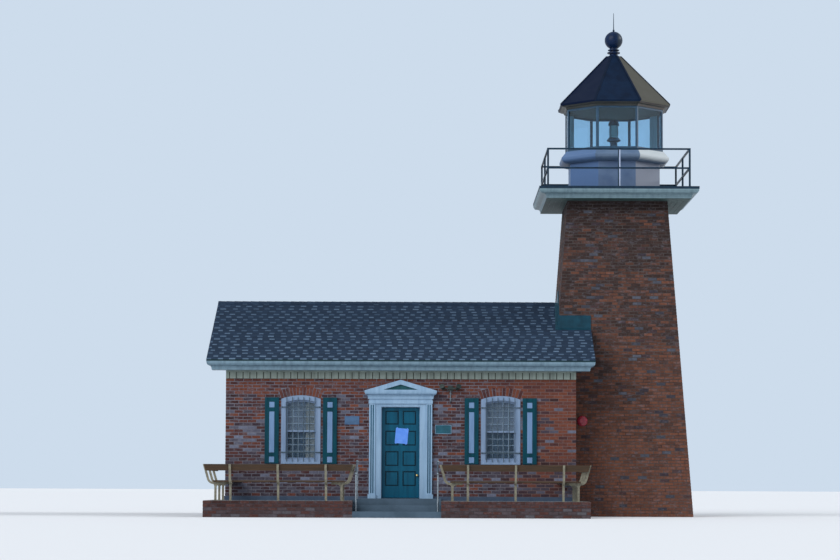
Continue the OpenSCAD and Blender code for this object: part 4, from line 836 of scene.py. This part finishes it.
def lay_terrace():
    """The retaining walls' outer faces, and a course on edge along their tops."""
    batch = Batch()
    rng = random.Random(31)
    end_len = (WALL_FOOT_Y - TERRACE_Y) / 2
    for side in (-1, 1):
        outer = TERRACE_CX + side * TERRACE_HALF
        inner = TERRACE_CX + side * STEPS_HALF
        middle, half = (outer + inner) / 2, abs(outer - inner) / 2
        middle_y = (TERRACE_Y + WALL_FOOT_Y) / 2
        lay_bricks(batch, wall_face((middle, TERRACE_Y, 0)), (0.0, TERRACE_Z),
                   lambda z: (-half - PROUD, half + PROUD), terrace_tone, rng)
        lay_bricks(batch, wall_face((outer, middle_y, side * 90)), (0.0, TERRACE_Z),
                   lambda z: (-end_len, end_len), terrace_tone, rng)

        def top_face(u, v, out):
            return Vector((u, v, TERRACE_Z + out))

        wall_y = TERRACE_Y + TERRACE_WALL
        edges = [(min(inner, outer), max(inner, outer), TERRACE_Y, wall_y, True)]
        for x in (outer, inner):
            inside = x - math.copysign(TERRACE_WALL, x - middle)
            edges.append((min(x, inside), max(x, inside), wall_y, WALL_FOOT_Y, False))
        for x0, x1, y0, y1, along_x in edges:
            length = x1 - x0 if along_x else y1 - y0
            count = round(length / COURSE)
            pitch = length / count
            for i in range(count):
                a, b = i * pitch + JOINT / 2, (i + 1) * pitch - JOINT / 2
                corners = (rectangle(x0 + a, x0 + b, y0, y1) if along_x
                           else rectangle(x0, x1, y0 + a, y0 + b))
                batch.slab(top_face, corners, -BEDDED, PROUD, WEAR, rng.uniform(0.9, 1.0))
    batch.piece("terrace_wall_bricks", terrace_brick, "brick_terrace")


def build_arches():
    """Rings of soldier bricks over the windows."""
    batch = Batch()
    rng = random.Random(41)
    inner = WINDOW_R + JOINT / 2
    outer = WINDOW_R + ARCH_H
    count = round(2 * ARCH_ANGLE * inner / COURSE)
    pitch = 2 * ARCH_ANGLE / count
    gap = JOINT / 2 / inner
    for place in WINDOW_PLACES:
        face = wall_face(place)
        for i in range(count):
            a = ARCH_ANGLE - i * pitch - gap
            b = ARCH_ANGLE - (i + 1) * pitch + gap
            corners = [(-r * math.sin(t), ARCH_Z + r * math.cos(t))
                       for t, r in ((a, inner), (b, inner), (b, outer), (a, outer))]
            batch.slab(face, corners, -BEDDED, ARCH_PROUD, WEAR, rng.uniform(0.1, 0.5))
    batch.piece("window_arch_bricks", house_brick, "brick_house")


# ---- roof ----

# How much of a shingle shows, how far the next one laps it, and how high a thick tab's pale band of
# # painted highlight reaches
EXPOSURE, LAP, TAB_HIGHLIGHT_H = 0.1705, 0.012, 0.095
# A thick tab and a thin one make a pace, and each course steps along by a share of it
TAB_PACE, TAB_STEP, THICK_SHARE, SLIP = 0.272, 0.54, 0.46, 0.024
THICK_BUTT, THIN_BUTT, TOP_EDGE, DROP = 0.012, 0.006, 0.003, 0.02
# The narrowest tab that is laid, and how far the shingles keep from the eave and from the ridge
NARROWEST, EAVE_GAP, RIDGE_GAP = 0.02, 0.008, 0.01
# The folded caps on the ridge: a wing's width, how much of each shows, and its lifts at both ends
CAP_WING, CAP_LEN, CAP_LIFTS = 0.155, 0.2, (0.021, 0.016)


def shingle_roof():
    """Laminated shingles: courses of tabs of random width, thick ones among thin ones, and folded
    caps along the ridge."""
    sin, cos = math.sin(PITCH), math.cos(PITCH)
    slope_len = HALF_SPAN / cos
    for name, side, seed in (("shingles_front", -1, 51), ("shingles_back", 1, 52)):
        batch = Batch()
        rng = random.Random(seed)

        def slope(u, s, out):
            return Vector((-side * u, side * (HALF_SPAN - s * cos + out * sin),
                           RIDGE_Z - HALF_SPAN * sin / cos + s * sin + out * cos))

        def wedge(a, b, s0, s1, low_out, high_out, tones):
            foot, top = [[slope(a, s0, o0), slope(b, s0, o0), slope(b, s1, o1), slope(a, s1, o1)]
                         for o0, o1 in ((0, 0), (low_out, high_out))]
            batch.loft([foot, top], tones)

        for row in range(math.ceil(slope_len / EXPOSURE)):
            s0 = max(row * EXPOSURE - EAVE_GAP, EAVE_GAP)
            s1 = min(s0 + EXPOSURE + LAP, slope_len - RIDGE_GAP)
            y = HALF_SPAN - s0 * cos
            at_tower = y < tower_half(roof_top(y))
            x_end = -tower_half(roof_top(y)) if at_tower else ROOF_X1
            u0, u1 = sorted((-side * ROOF_X0, -side * x_end))
            # Thick tabs come at a steady pace, each course stepping along from the last
            u, thick = u0 - (row * TAB_STEP * TAB_PACE) % TAB_PACE, True
            while u < u1 - 0.001:
                slip = rng.uniform(-SLIP, SLIP)
                width = TAB_PACE * (THICK_SHARE if thick else 1 - THICK_SHARE)
                width += slip if thick else -slip
                a, b = max(u, u0), min(u + width, u1)
                if b - a > NARROWEST:
                    butt, drop = (THICK_BUTT, rng.uniform(0.0, DROP)) if thick else (THIN_BUTT, 0.0)
                    drop = min(drop, s0 - EAVE_GAP)
                    # Tabs are paler towards the eave
                    low = 0.12 * (1 - s0 / slope_len)
                    # Thick tabs' pale tone is a painted highlight on their butts
                    worn = rng.uniform(0.66, 0.92) + low if thick else rng.uniform(0.05, 0.4)
                    under = rng.uniform(0.0, 0.3)
                    # A thick tab's lower part is pale with painted highlight, and the rest is dark
                    mid = s0 + TAB_HIGHLIGHT_H if thick else (s0 + s1) / 2
                    rise = butt - (butt - TOP_EDGE) * (mid - s0) / (s1 - s0)
                    wedge(a, b, s0 - drop, mid, butt, rise, [worn, worn, under, under])
                    wedge(a, b, mid, s1, rise, TOP_EDGE, under)
                u, thick = u + width, not thick
        batch.piece(name, shingle, "shingles")

    batch = Batch()
    rng = random.Random(53)
    x, end = ROOF_X0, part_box("ridge_cap")[1].x
    wing_y, fall = CAP_WING * cos, CAP_WING * sin
    while x < end - NARROWEST:
        x1 = min(x + CAP_LEN, end)
        rings = []
        for at, lift in zip((x, x1), CAP_LIFTS):
            upright = lift / cos
            top = RIDGE_Z + upright
            rings.append([Vector((at, y, z)) for y, z in (
                (-wing_y, top - fall), (0, top), (wing_y, top - fall),
                (wing_y, top - fall - upright), (0, RIDGE_Z), (-wing_y, top - fall - upright))])
        batch.loft([list(reversed(r)) for r in rings], rng.uniform(0.05, 0.4))
        x = x1
    batch.piece("ridge_shingles", shingle, "shingles")


# ---- windows and door ----

# A muntin's width, how far its ends reach into the sash, how far it lies below the sash's faces,
# its chamfer, and the upright and level ones in a sash
MUNTIN_W, MUNTIN_BITE, MUNTIN_IN, MUNTIN_CHAMFER = 0.018, 0.004, 0.006, 0.003
UPRIGHTS, LEVELS = 4, 3
# How far out the grille stands, its rods' places across, their foot, shoulder and tip, and the
# heights of its flat bars
GRILLE_OUT, ROD_R = CASING_OUT + 0.030, 0.008
ROD_PLACES = (-0.333, -0.2, -0.067, 0.067, 0.2, 0.333)
ROD_ENDS, FLAT_BARS = (WINDOW_Z + SILL_H, 2.78, 2.812), (1.496, 2.562)
# A slat 28 mm wide, closed to 60 degrees, as heights and ways out, and its blind's place and pace
SLAT = ((-0.012, 0.007), (0.012, -0.007), (0.013, -0.0055), (-0.011, 0.0085))
BLIND_OUT, BLIND_HALF, SLAT_PACE = -FRAME_D - 0.025, 0.36, 0.025
# The left window's wide blind ends where a narrow pale one begins, whose paleness is painted light
WIDE_BLIND_END, NARROW_BLIND, NARROW_PACE = 0.095, (0.105, 0.35), 0.026
# How far a pale panel keeps from its frame, and lies below the frame's face
INSET_GAP, INSET_IN = 0.004, 0.003


def steps(first, last, pace):
    """Places from the first, a pace apart, short of the last."""
    places = []
    while first < last:
        places.append(first)
        first += pace
    return places


def fit_windows():
    """Pale bars in the sashes, iron grilles before them, slatted blinds, and framed shutters with
    pale panels. The front's blinds hang only behind the upper sashes, but for one narrow pale one,
    whose paleness is painted daylight seen through the room."""
    muntins, grilles, blinds, daylit_side_blind = Batch(), Batch(), Batch(), Batch()
    shutters, insets = Batch(), Batch()
    light_half = WINDOW_HALF - CASING_W - SASH_W
    head = WINDOW_R - CASING_W - SASH_W
    blind_foot, blind_top = WINDOW_Z + CASING_W, WINDOW_TOP - CASING_W
    shares = [0.0, *(end for panel in SHUTTER_PANELS for end in panel), 1.0]
    heights = [SHUTTER_Z + share * SHUTTER_H for share in shares]
    stile, panel_out = (SHUTTER_W - PANEL_W) / 2, SHUTTER_T - PANEL_D
    for place in WINDOW_PLACES:
        face = wall_face(place)
        for upper in (True, False):
            sash_y = FRAME_D - (2 if upper else 1) * SASH_T
            back, front = -sash_y - SASH_T + MUNTIN_IN, -sash_y - MUNTIN_IN
            low = MEETING_Z + SASH_W / 2 if upper else WINDOW_Z + CASING_W + SASH_W

            def top(u):
                return ARCH_Z + math.sqrt(head ** 2 - u * u) if upper else MEETING_Z - SASH_W / 2

            for i in range(1, UPRIGHTS + 1):
                u = -light_half + i * 2 * light_half / (UPRIGHTS + 1)
                muntins.slab(face, rectangle(u - MUNTIN_W / 2, u + MUNTIN_W / 2, low - MUNTIN_BITE,
                                             top(u) + MUNTIN_BITE), back, front, MUNTIN_CHAMFER)
            for i in range(1, LEVELS + 1):
                z = low + i * (top(light_half) - low) / (LEVELS + 1)
                muntins.slab(face, centred(0, z, light_half + MUNTIN_BITE, MUNTIN_W / 2),
                             back, front - 0.001, MUNTIN_CHAMFER)
        first = place == WINDOW_PLACES[0]
        for z in steps(MEETING_Z + 0.03 if place[2] == 0 else blind_foot, blind_top, SLAT_PACE):
            blinds.loft([[face(u, z + up, BLIND_OUT + out) for up, out in SLAT]
                         for u in (-BLIND_HALF, WIDE_BLIND_END if first else BLIND_HALF)])
        # A narrow pale blind, full height, behind the left window's right part: painted daylight
        if first:
            for z in steps(blind_foot, blind_top, NARROW_PACE):
                daylit_side_blind.slab(face, rectangle(*NARROW_BLIND, z - 0.012, z + 0.012),
                                BLIND_OUT - 0.002, BLIND_OUT + 0.002, 0.001)
        for u in ROD_PLACES:
            grilles.bar([face(u, z, GRILLE_OUT) for z in ROD_ENDS], (ROD_R, ROD_R, 0.001), 8)
        for z in FLAT_BARS:
            grilles.slab(face, centred(0, z, WINDOW_HALF - 0.002, 0.011),
                         GRILLE_OUT - 0.012, GRILLE_OUT - 0.005, 0.001)
            # Lugs that hold the flat bars to the casing
            for u in (-WINDOW_HALF + 0.025, WINDOW_HALF - 0.025):
                grilles.slab(face, centred(u, z, 0.014, 0.016),
                             CASING_OUT - 0.002, GRILLE_OUT - 0.010, 0.002)
        for left in (-WINDOW_HALF - SHUTTER_GAP - SHUTTER_W, WINDOW_HALF + SHUTTER_GAP):
            right = left + SHUTTER_W
            shutters.slab(face, rectangle(left, right, heights[0], heights[-1]), 0.0, panel_out,
                          0.0005)
            for corners in ([rectangle(left, left + stile, heights[0], heights[-1]),
                             rectangle(right - stile, right, heights[0], heights[-1])]
                            + [rectangle(left + stile, right - stile, z0, z1)
                               for z0, z1 in zip(heights[::2], heights[1::2])]):
                shutters.slab(face, corners, panel_out, SHUTTER_T, 0.002)
            for z0, z1 in zip(heights[1::2], heights[2::2]):
                insets.slab(face, rectangle(left + stile + INSET_GAP, right - stile - INSET_GAP,
                                            z0 + INSET_GAP, z1 - INSET_GAP),
                            panel_out - 0.001, SHUTTER_T - INSET_IN, 0.003)
    muntins.piece("window_muntins", muntin_paint, "cream_paint")
    grilles.piece("window_grilles", grille_enamel, "dark_iron", smooth=True)
    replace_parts(shutters.piece("shutter_frames", shutter_paint, "teal_paint"), "window_shutters")
    insets.piece("shutter_insets", inset_paint, "cream_paint")
    blinds.piece("window_blinds", blind_enamel, "lantern_white")
    daylit_side_blind.piece("daylit_side_blind", daylight_blind_paint, "lantern_white")


# The paint in a flute: how thick it is, how far it stands proud and short of the flute's ends
FLUTE_PAINT, FLUTE_PROUD, FLUTE_SHORT = 0.0015, 0.0004, 0.002
# The groove round a door panel: its width, and the painted shade's distance from the groove's edges
QUIRK_W, QUIRK_GAP = 0.030, 0.002
# The sheet on the door: its middle, size, thickness, slope and rows, and how it lies on the leaf
SHEET_X, SHEET_Z, SHEET_W, SHEET_H, SHEET_T = -5.205, 1.893, 0.30, 0.36, 0.0008
SHEET_TURN, SHEET_ROWS, SHEET_OFF, SHEET_BELLY = math.radians(-5), 8, 0.0015, 0.003


def dress_door():
    """Painted strips in the flutes, painted shade in the quirks round the leaf's panels, the worn
    plate on the threshold, and a blank sheet taped to the leaf."""
    flutes = Batch()
    z0, z1 = FLOOR_Z + PILASTER_BASE + 2 * FLUTE_R, PILASTER_TOP - 2 * FLUTE_R
    face_y = -HALF_DEPTH - PILASTER_OUT
    arc = [math.pi * k / 8 for k in range(9)]
    thin = FLUTE_R - FLUTE_PAINT
    for side in (-1, 1):
        for i in (1, 2):
            u = DOOR_CX + side * (SURROUND_HALF - SHAFT_W * i / 3)
            ring = [(u - FLUTE_R * math.cos(a), face_y + FLUTE_R * math.sin(a) + FLUTE_PROUD)
                    for a in arc]
            inner = [(u + thin * math.cos(a), face_y + thin * math.sin(a) + FLUTE_PROUD)
                     for a in arc]
            outline = list(reversed(ring + inner))
            flutes.loft([[Vector((x, y, z)) for x, y in outline]
                         for z in (z0 + FLUTE_SHORT, z1 - FLUTE_SHORT)])
    flutes.piece("flute_strips", door_paint, "teal_paint", smooth=True)

    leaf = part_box("front_door")[0]
    quirks = Batch()
    pane = (DOOR_W - 2 * STILE_W - MID_STILE_W) / 2

    def on_leaf(u, v, out):
        return Vector((leaf.x + u, leaf.y - out, leaf.z + v))

    # Dark strips in the grooves round the panels: painted shade
    for u in (STILE_W, STILE_W + pane + MID_STILE_W):
        for low, high in DOOR_ROWS:
            for strip in border(u, u + pane, low * DOOR_LEAF_H, high * DOOR_LEAF_H, QUIRK_W,
                                QUIRK_GAP):
                quirks.slab(on_leaf, strip, -DOOR_PANEL_D - 0.001, -DOOR_PANEL_D + 0.004, 0.002)
    quirks.piece("door_panel_quirks", quirk_shade_paint, "teal_paint", body="door")

    plate = Batch()
    plate.slab(wall_face((DOOR_CX, -HALF_DEPTH, 0)),
               rectangle(-DOOR_W / 2 + 0.002, DOOR_W / 2 - 0.002, FLOOR_Z + 0.001,
                         FLOOR_Z + THRESHOLD_H), -0.002, 0.003, 0.001)
    plate.piece("threshold_plate", iron_paint, "dark_iron")

    sheet = Batch()
    sin, cos = math.sin(SHEET_TURN), math.cos(SHEET_TURN)

    def on_door(u, v, out):
        return Vector((SHEET_X + u * cos - v * sin, DOOR_FACE_Y - out, SHEET_Z + u * sin + v * cos))

    # The sheet bellies a little between its taped ends
    half_w, half_h = SHEET_W / 2, SHEET_H / 2
    rings = []
    for r in range(SHEET_ROWS + 1):
        v = -half_h + SHEET_H * r / SHEET_ROWS
        off = SHEET_OFF + SHEET_BELLY * math.sin(math.pi * r / SHEET_ROWS) ** 2
        rings.append([on_door(-half_w, v, off), on_door(-half_w, v, off + SHEET_T),
                      on_door(half_w, v, off + SHEET_T), on_door(half_w, v, off)])
    sheet.loft([list(reversed(r)) for r in rings])
    for u in (-half_w + 0.03, half_w - 0.03):
        for v in (-half_h, half_h):
            sheet.slab(on_door, centred(u, v, 0.012, 0.014), -0.0005, 0.0032, 0.0004)
    sheet.piece("door_paper", paper, "cream_paint", body="door")


# The plaques' places, widths, heights and enamels, read off the photograph
PLAQUES = {"plaque_left": (-6.377, 2.256, 0.345, 0.200, plaque_grey),
           "plaque_right": (-4.222, 2.050, 0.385, 0.217, plaque_green)}
SCREW_IN, RIM_W = 0.018, 0.010
# The conduit below the lamps, as heights and distances out of the wall, and its clips' heights
CONDUIT = ((LAMP_Z - 0.058, 0.03), (2.72, 0.03), (2.695, 0.026), (2.68, 0.015), (2.675, -0.002))
CONDUIT_R, CLIPS = 0.011, (2.78, 2.9)
# A lamp's bezel, as places along its aim from the lamp's rim, and radii there
BEZEL = ((-0.012, 0.060), (-0.012, 0.067), (0.004, 0.067), (0.004, 0.056), (0.001, 0.054),
         (0.001, 0.02))
# The pale strip's two lengths above the deck, apart where the mid rail crosses, its left edge, and
# # how far it stands out beyond the post, to the right and to front and back. Its paleness is a
# # painted highlight of sunlight on the post's right side
HIGHLIGHT_ENDS, HIGHLIGHT_X0 = ((0.0, 0.441), (0.483, 0.904)), 0.004
HIGHLIGHT_RIGHT, HIGHLIGHT_ROUND = 0.013, 0.002


def fit_wall():
    """Bare plaques, the right one in a rim, the lamps' conduit and faces, and a pale strip on the
    right half of the railing's middle post, a painted highlight of sunlight on it."""
    front = wall_face((0, -HALF_DEPTH, 0))
    for name, (x, z, w, h, finish) in PLAQUES.items():
        plaque = Batch()
        plaque.slab(front, centred(x, z, w / 2, h / 2), 0.0, 0.014, 0.004)
        for u, v in centred(x, z, w / 2 - SCREW_IN, h / 2 - SCREW_IN):
            plaque.bar([front(u, v, out) for out in (0.013, 0.016, 0.018)],
                       (0.007, 0.007, 0.003), 12)
        plaque.piece(name, finish, "lantern_white")
    rim = Batch()
    x, z, w, h = PLAQUES["plaque_right"][:4]
    for strip in border(x - w / 2, x + w / 2, z - h / 2, z + h / 2, RIM_W):
        rim.slab(front, strip, 0.002, 0.018, 0.003)
    rim.piece("plaque_rim", trim_paint, "cream_paint")

    conduit = Batch()
    conduit.bar([front(LAMP_X, z, out) for z, out in CONDUIT], [CONDUIT_R] * len(CONDUIT), 12)
    for z in CLIPS:
        conduit.slab(front, centred(LAMP_X, z, 0.03, 0.008), 0.001, 0.043, 0.003)
    conduit.piece("lamp_conduit", zinc, "hinge_steel", smooth=True)

    bezels = Batch()
    for side in (-1, 1):
        at = Vector((LAMP_X + side * (LAMP_W / 2 - LAMP_R), -HALF_DEPTH - 0.09, LAMP_Z))
        aim = (Matrix.Rotation(math.radians(side * 20), 3, "Z")
               @ Matrix.Rotation(math.radians(60), 3, "X")) @ Vector((0, 0, 1))
        rim_at = at + aim * LAMP_LEN * 0.7
        bezels.bar([rim_at + aim * along for along, _ in BEZEL], [r for _, r in BEZEL], 28)
    bezels.piece("lamp_bezels", zinc, "hinge_steel", smooth=True)

    # A painted highlight: a pale strip round the right half of the middle post, where sunlight falls
    post_highlight = Batch()
    half = RAIL_POST_W / 2
    post_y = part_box("railing_front")[0].y + half
    for low, high in HIGHLIGHT_ENDS:
        post_highlight.loft([[Vector((x, y, DECK_Z + z)) for x, y in rectangle(
            HIGHLIGHT_X0, half + HIGHLIGHT_RIGHT, post_y - half - HIGHLIGHT_ROUND,
            post_y + half + HIGHLIGHT_ROUND)] for z in (low, high)])
    post_highlight.piece("railing_post_highlight", post_highlight_enamel, "lantern_white")


# How far the painted shade in a groove lies below the frieze's face
GROOVE_SHADE_IN = 0.007


def line_frieze():
    """Painted shade in the frieze's grooves, front and back: dark strips deep in each groove."""
    batch = Batch()
    for face in (front_face, back_face):
        u = -house_half + GROOVE_PITCH / 2
        while u < house_half - GROOVE_W:
            batch.slab(face, rectangle(u - GROOVE_W / 2 + 0.001, u + GROOVE_W / 2 - 0.001,
                                       FRIEZE_Z + 0.002, SOFFIT_Z - BED_H - 0.001),
                       FRIEZE_T - GROOVE_D - 0.001, FRIEZE_T - GROOVE_SHADE_IN, 0.002)
            u += GROOVE_PITCH
    batch.piece("frieze_groove_shade_strips", groove_shade_paint, "cream_paint")


# Boards to a side of the soffit and to the ceiling, half the gap between two, their bed and their
# chamfer, and the width of the upright ones in the lantern's back corners
SOFFIT_BOARDS, CEILING_BOARDS, JAMB_W = 4, 18, 0.24
BOARD_GAP, BOARD_BED, BOARD_CHAMFER = 0.002, 0.002, 0.002


def board_soffits():
    """Painted boards under the gallery, on the lantern room's ceiling and in its back corners. Those
    under the gallery and on the ceiling are dark with painted shade.
    """
    def under(z):
        return lambda u, v, out: Vector((v, u, z - out))

    batch = Batch()
    soffit = under(TOWER_H)
    inner, outer = TOWER_TOP + 0.012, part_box("gallery_deck")[1].x - DECK_CROWN_IN - 0.004
    width = (outer - inner) / SOFFIT_BOARDS
    reach = inner - 0.001
    for side in (-1, 1):
        for i in range(SOFFIT_BOARDS):
            a, b = sorted((side * (inner + i * width + BOARD_GAP),
                           side * (inner + (i + 1) * width - BOARD_GAP)))
            for corners in (rectangle(a, b, -outer, outer), rectangle(-reach, reach, a, b)):
                batch.slab(soffit, corners, -BOARD_BED, 0.007, BOARD_CHAMFER)
    batch.piece("gallery_soffit_boards", soffit_shade_paint, "lantern_white")

    batch = Batch()
    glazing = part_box("lantern_frame")
    half = glazing[1].x - 0.052
    pitch = 2 * half / CEILING_BOARDS
    for i in range(CEILING_BOARDS):
        a, b = -half + i * pitch + BOARD_GAP, -half + (i + 1) * pitch - BOARD_GAP
        reach = min(half, half * math.sqrt(2) - max(abs(a), abs(b)))
        batch.slab(under(glazing[1].z), rectangle(a, b, -reach, reach), -BOARD_BED, 0.008,
                   BOARD_CHAMFER)
    batch.piece("lantern_ceiling_boards", ceiling_shade_paint, "lantern_white")

    # Upright boards inside the two back corners, beside the side panes
    batch = Batch()
    side = half * math.tan(math.pi / 8)
    for turn, start in ((135, -1), (-135, 1)):
        pane = wall_face((0, 0, turn))
        u0, u1 = sorted((start * (side - 0.002), start * (side - JAMB_W)))
        batch.slab(lambda u, v, out: pane(u, v, half - 0.002 - out),
                   rectangle(u0, u1, glazing[0].z + 0.05, glazing[1].z - 0.001), 0.0, 0.012, 0.003)
    batch.piece("lantern_jamb_boards", jamb_paint, "lantern_white")


# The lens's cap, as radii and heights above the glass, and the cage's ring and four rods below it
CAP_FORM = ((0.1345, 0.0), (0.1345, 0.018), (0.1315, 0.045), (0.1215, 0.075), (0.104, 0.102),
            (0.0785, 0.126), (0.0485, 0.143), (0.022, 0.153), (0.004, 0.1555))
CAGE_R, CAGE_ROD_R, RING_R = 0.128, 0.005, 0.136


def cap_beacon():
    """The dark domed cap over the lens, and the lens's iron rods and foot ring."""
    batch = Batch()
    top = LENS_TOP - LENS_H * (1 - BARREL_SHARE)
    batch.bar([(0, 0, top + h) for _, h in CAP_FORM], [r for r, _ in CAP_FORM], 32)
    for k in range(4):
        a = math.pi / 4 + k * math.pi / 2
        x, y = CAGE_R * math.cos(a), CAGE_R * math.sin(a)
        batch.bar([(x, y, top - 0.326), (x, y, top + 0.01)], (CAGE_ROD_R, CAGE_ROD_R), 8)
    batch.bar([(0, 0, top - 0.33), (0, 0, top - 0.308)], (RING_R, RING_R), 32)
    batch.piece("beacon_cap", iron_paint, "dark_iron", smooth=True)


# ---- benches ----

PLANKS, PLANK_GAP, PLANK_CHAMFER = 3, 0.0075, 0.004
# Two bolts through a plank at each frame, and their domed heads, as heights and radii
BOLT_OFF, BOLT_HEAD = 0.03, ((-0.002, 0.009), (0.001, 0.009), (0.003, 0.004))


def build_seats():
    """Three planks to a seat, on the same frames and in the same place as the plain seats."""
    planks, bolts = Batch(), Batch()
    rng = random.Random(61)
    top = TERRACE_Z + SEAT_Z
    width = (SEAT_D - 2 * PLANK_GAP) / PLANKS

    def level(u, v, out):
        return Vector((u, v, top + out))

    def seat(x0, x1, y0, y1, along_x, frames):
        for i in range(PLANKS):
            a = i * (width + PLANK_GAP)
            corners = (rectangle(x0, x1, y0 + a, y0 + a + width) if along_x
                       else rectangle(x0 + a, x0 + a + width, y0, y1))
            planks.slab(level, corners, -SEAT_T, rng.uniform(-0.0015, 0), PLANK_CHAMFER,
                        rng.random(), 0.0 if along_x else 1.0)
            for f in frames:
                u, v = (f, y0 + a + width / 2) if along_x else (x0 + a + width / 2, f)
                for off in (-BOLT_OFF, BOLT_OFF):
                    point = (u, v + off) if along_x else (u + off, v)
                    bolts.bar([level(*point, out) for out, _ in BOLT_HEAD],
                              [r for _, r in BOLT_HEAD], 10)

    full = WALL_FOOT_Y - TERRACE_Y
    front_y0 = TERRACE_Y + SEAT_IN
    front_y1 = front_y0 + SEAT_D
    for side in (-1, 1):
        edges = sorted((TERRACE_CX + side * TERRACE_HALF, TERRACE_CX + side * STEPS_HALF))
        middle = (edges[0] + edges[1]) / 2
        seat(edges[0] + SEAT_IN, edges[1] - SEAT_IN, front_y0, front_y1, True,
             [middle + i * FRONT_BAY for i in (-1, 0, 1)])
        for x, outer in ((edges[0], side < 0), (edges[1], side > 0)):
            length = full if outer else RETURN_LEN
            frames = [TERRACE_Y + y for y in steps(SIDE_START, length - 0.05, SIDE_BAY)
                      if y > SEAT_IN + SEAT_D]
            x0 = x + SEAT_IN if x == edges[0] else x - SEAT_IN - SEAT_D
            seat(x0, x0 + SEAT_D, front_y1 + PLANK_GAP, TERRACE_Y + length, False, frames)
    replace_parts(planks.piece("seat_planks", bench_board, "bench_timber"), "bench_seats")
    bolts.piece("seat_bolts", zinc, "hinge_steel", smooth=True)


lay_house()
lay_tower()
lay_terrace()
build_arches()
shingle_roof()
fit_windows()
dress_door()
fit_wall()
line_frieze()
board_soffits()
cap_beacon()
build_seats()


# ---- stage, light and camera ----

FLOOR_REACH = 400.0


def set_stage():
    """A pale floor, and a world that lights softly and shows as a pale sky."""
    mesh = bpy.data.meshes.new("floor")
    mesh.from_pydata([(u, v, 0) for u, v in centred(0, 0, FLOOR_REACH, FLOOR_REACH)],
                     [], [(0, 1, 2, 3)])
    floor = bpy.data.objects.new("floor", mesh)
    floor.location = (0, 0, -0.001)
    bpy.context.scene.collection.objects.link(floor)
    mesh.materials.append(begin("floor_pale", Roughness=0.9, Base_Color=colour("#dfe3e8"))[0])

    world = bpy.data.worlds.new("studio")
    bpy.context.scene.world = world
    world.use_nodes = True
    tree = world.node_tree
    tree.nodes.clear()
    ray = add(tree, "ShaderNodeLightPath")
    seen = add(tree, "ShaderNodeMath", {"operation": "MAXIMUM"}, links={
        0: ray.outputs["Is Camera Ray"], 1: ray.outputs["Is Transmission Ray"]})
    seen = add(tree, "ShaderNodeMath", {"operation": "MAXIMUM"}, links={
        0: seen.outputs["Value"], 1: ray.outputs["Is Glossy Ray"]})
    light = add(tree, "ShaderNodeBackground", values={"Color": colour("#f2f5fa"), "Strength": 0.55})
    shown = add(tree, "ShaderNodeBackground", values={"Color": colour("#cddcec"), "Strength": 1.0})
    both = add(tree, "ShaderNodeMixShader", links={
        0: seen.outputs["Value"], 1: light.outputs["Background"], 2: shown.outputs["Background"]})
    add(tree, "ShaderNodeOutputWorld", links={"Surface": both.outputs["Shader"]})


def set_light(name, strength, spread, aim):
    """A broad soft lamp at infinity, shining along aim."""
    lamp = bpy.data.lights.new(name, "SUN")
    lamp.energy, lamp.angle = strength, math.radians(spread)
    made = bpy.data.objects.new(name, lamp)
    made.rotation_euler = Vector(aim).to_track_quat("-Z", "Y").to_euler()
    bpy.context.scene.collection.objects.link(made)


# The photograph's place and angle, fitted to points on the building, in metres, radians and
# millimetres, with a shift of 50 of the frame's 840 pixels
CAMERA_AT = (-4.44593, -61.05509, 0.71244)
CAMERA_YAW, CAMERA_PITCH, CAMERA_ROLL = -0.00575, 0.06309, 0.00407
CAMERA_LENS, CAMERA_SENSOR, CAMERA_SHIFT = 105.918, 36.0, 50 / 840


def set_camera():
    """A camera where the photograph was taken from, looking as it does."""
    sin_yaw, cos_yaw = math.sin(CAMERA_YAW), math.cos(CAMERA_YAW)
    sin_pitch, cos_pitch = math.sin(CAMERA_PITCH), math.cos(CAMERA_PITCH)
    sin_roll, cos_roll = math.sin(CAMERA_ROLL), math.cos(CAMERA_ROLL)
    ahead = Vector((sin_yaw * cos_pitch, cos_yaw * cos_pitch, sin_pitch))
    up = Vector((-sin_yaw * sin_pitch, -cos_yaw * sin_pitch, cos_pitch))
    right = ahead.cross(up)
    rolled_right = right * cos_roll + up * sin_roll
    rolled_up = up * cos_roll - right * sin_roll
    lens = bpy.data.cameras.new("camera")
    lens.lens, lens.sensor_width, lens.clip_end = CAMERA_LENS, CAMERA_SENSOR, 1200.0
    lens.shift_y = CAMERA_SHIFT
    made = bpy.data.objects.new("camera", lens)
    turn = Matrix((rolled_right, rolled_up, -ahead)).transposed().to_4x4()
    made.matrix_world = Matrix.Translation(CAMERA_AT) @ turn
    bpy.context.scene.collection.objects.link(made)
    bpy.context.scene.camera = made


set_stage()
set_light("soft_key", 2.0, 20, (-0.92, -0.05, -0.40))
set_light("soft_fill", 2.2, 50, (0.60, 0.65, -0.47))
set_camera()
bpy.context.scene.view_settings.view_transform = "Standard"
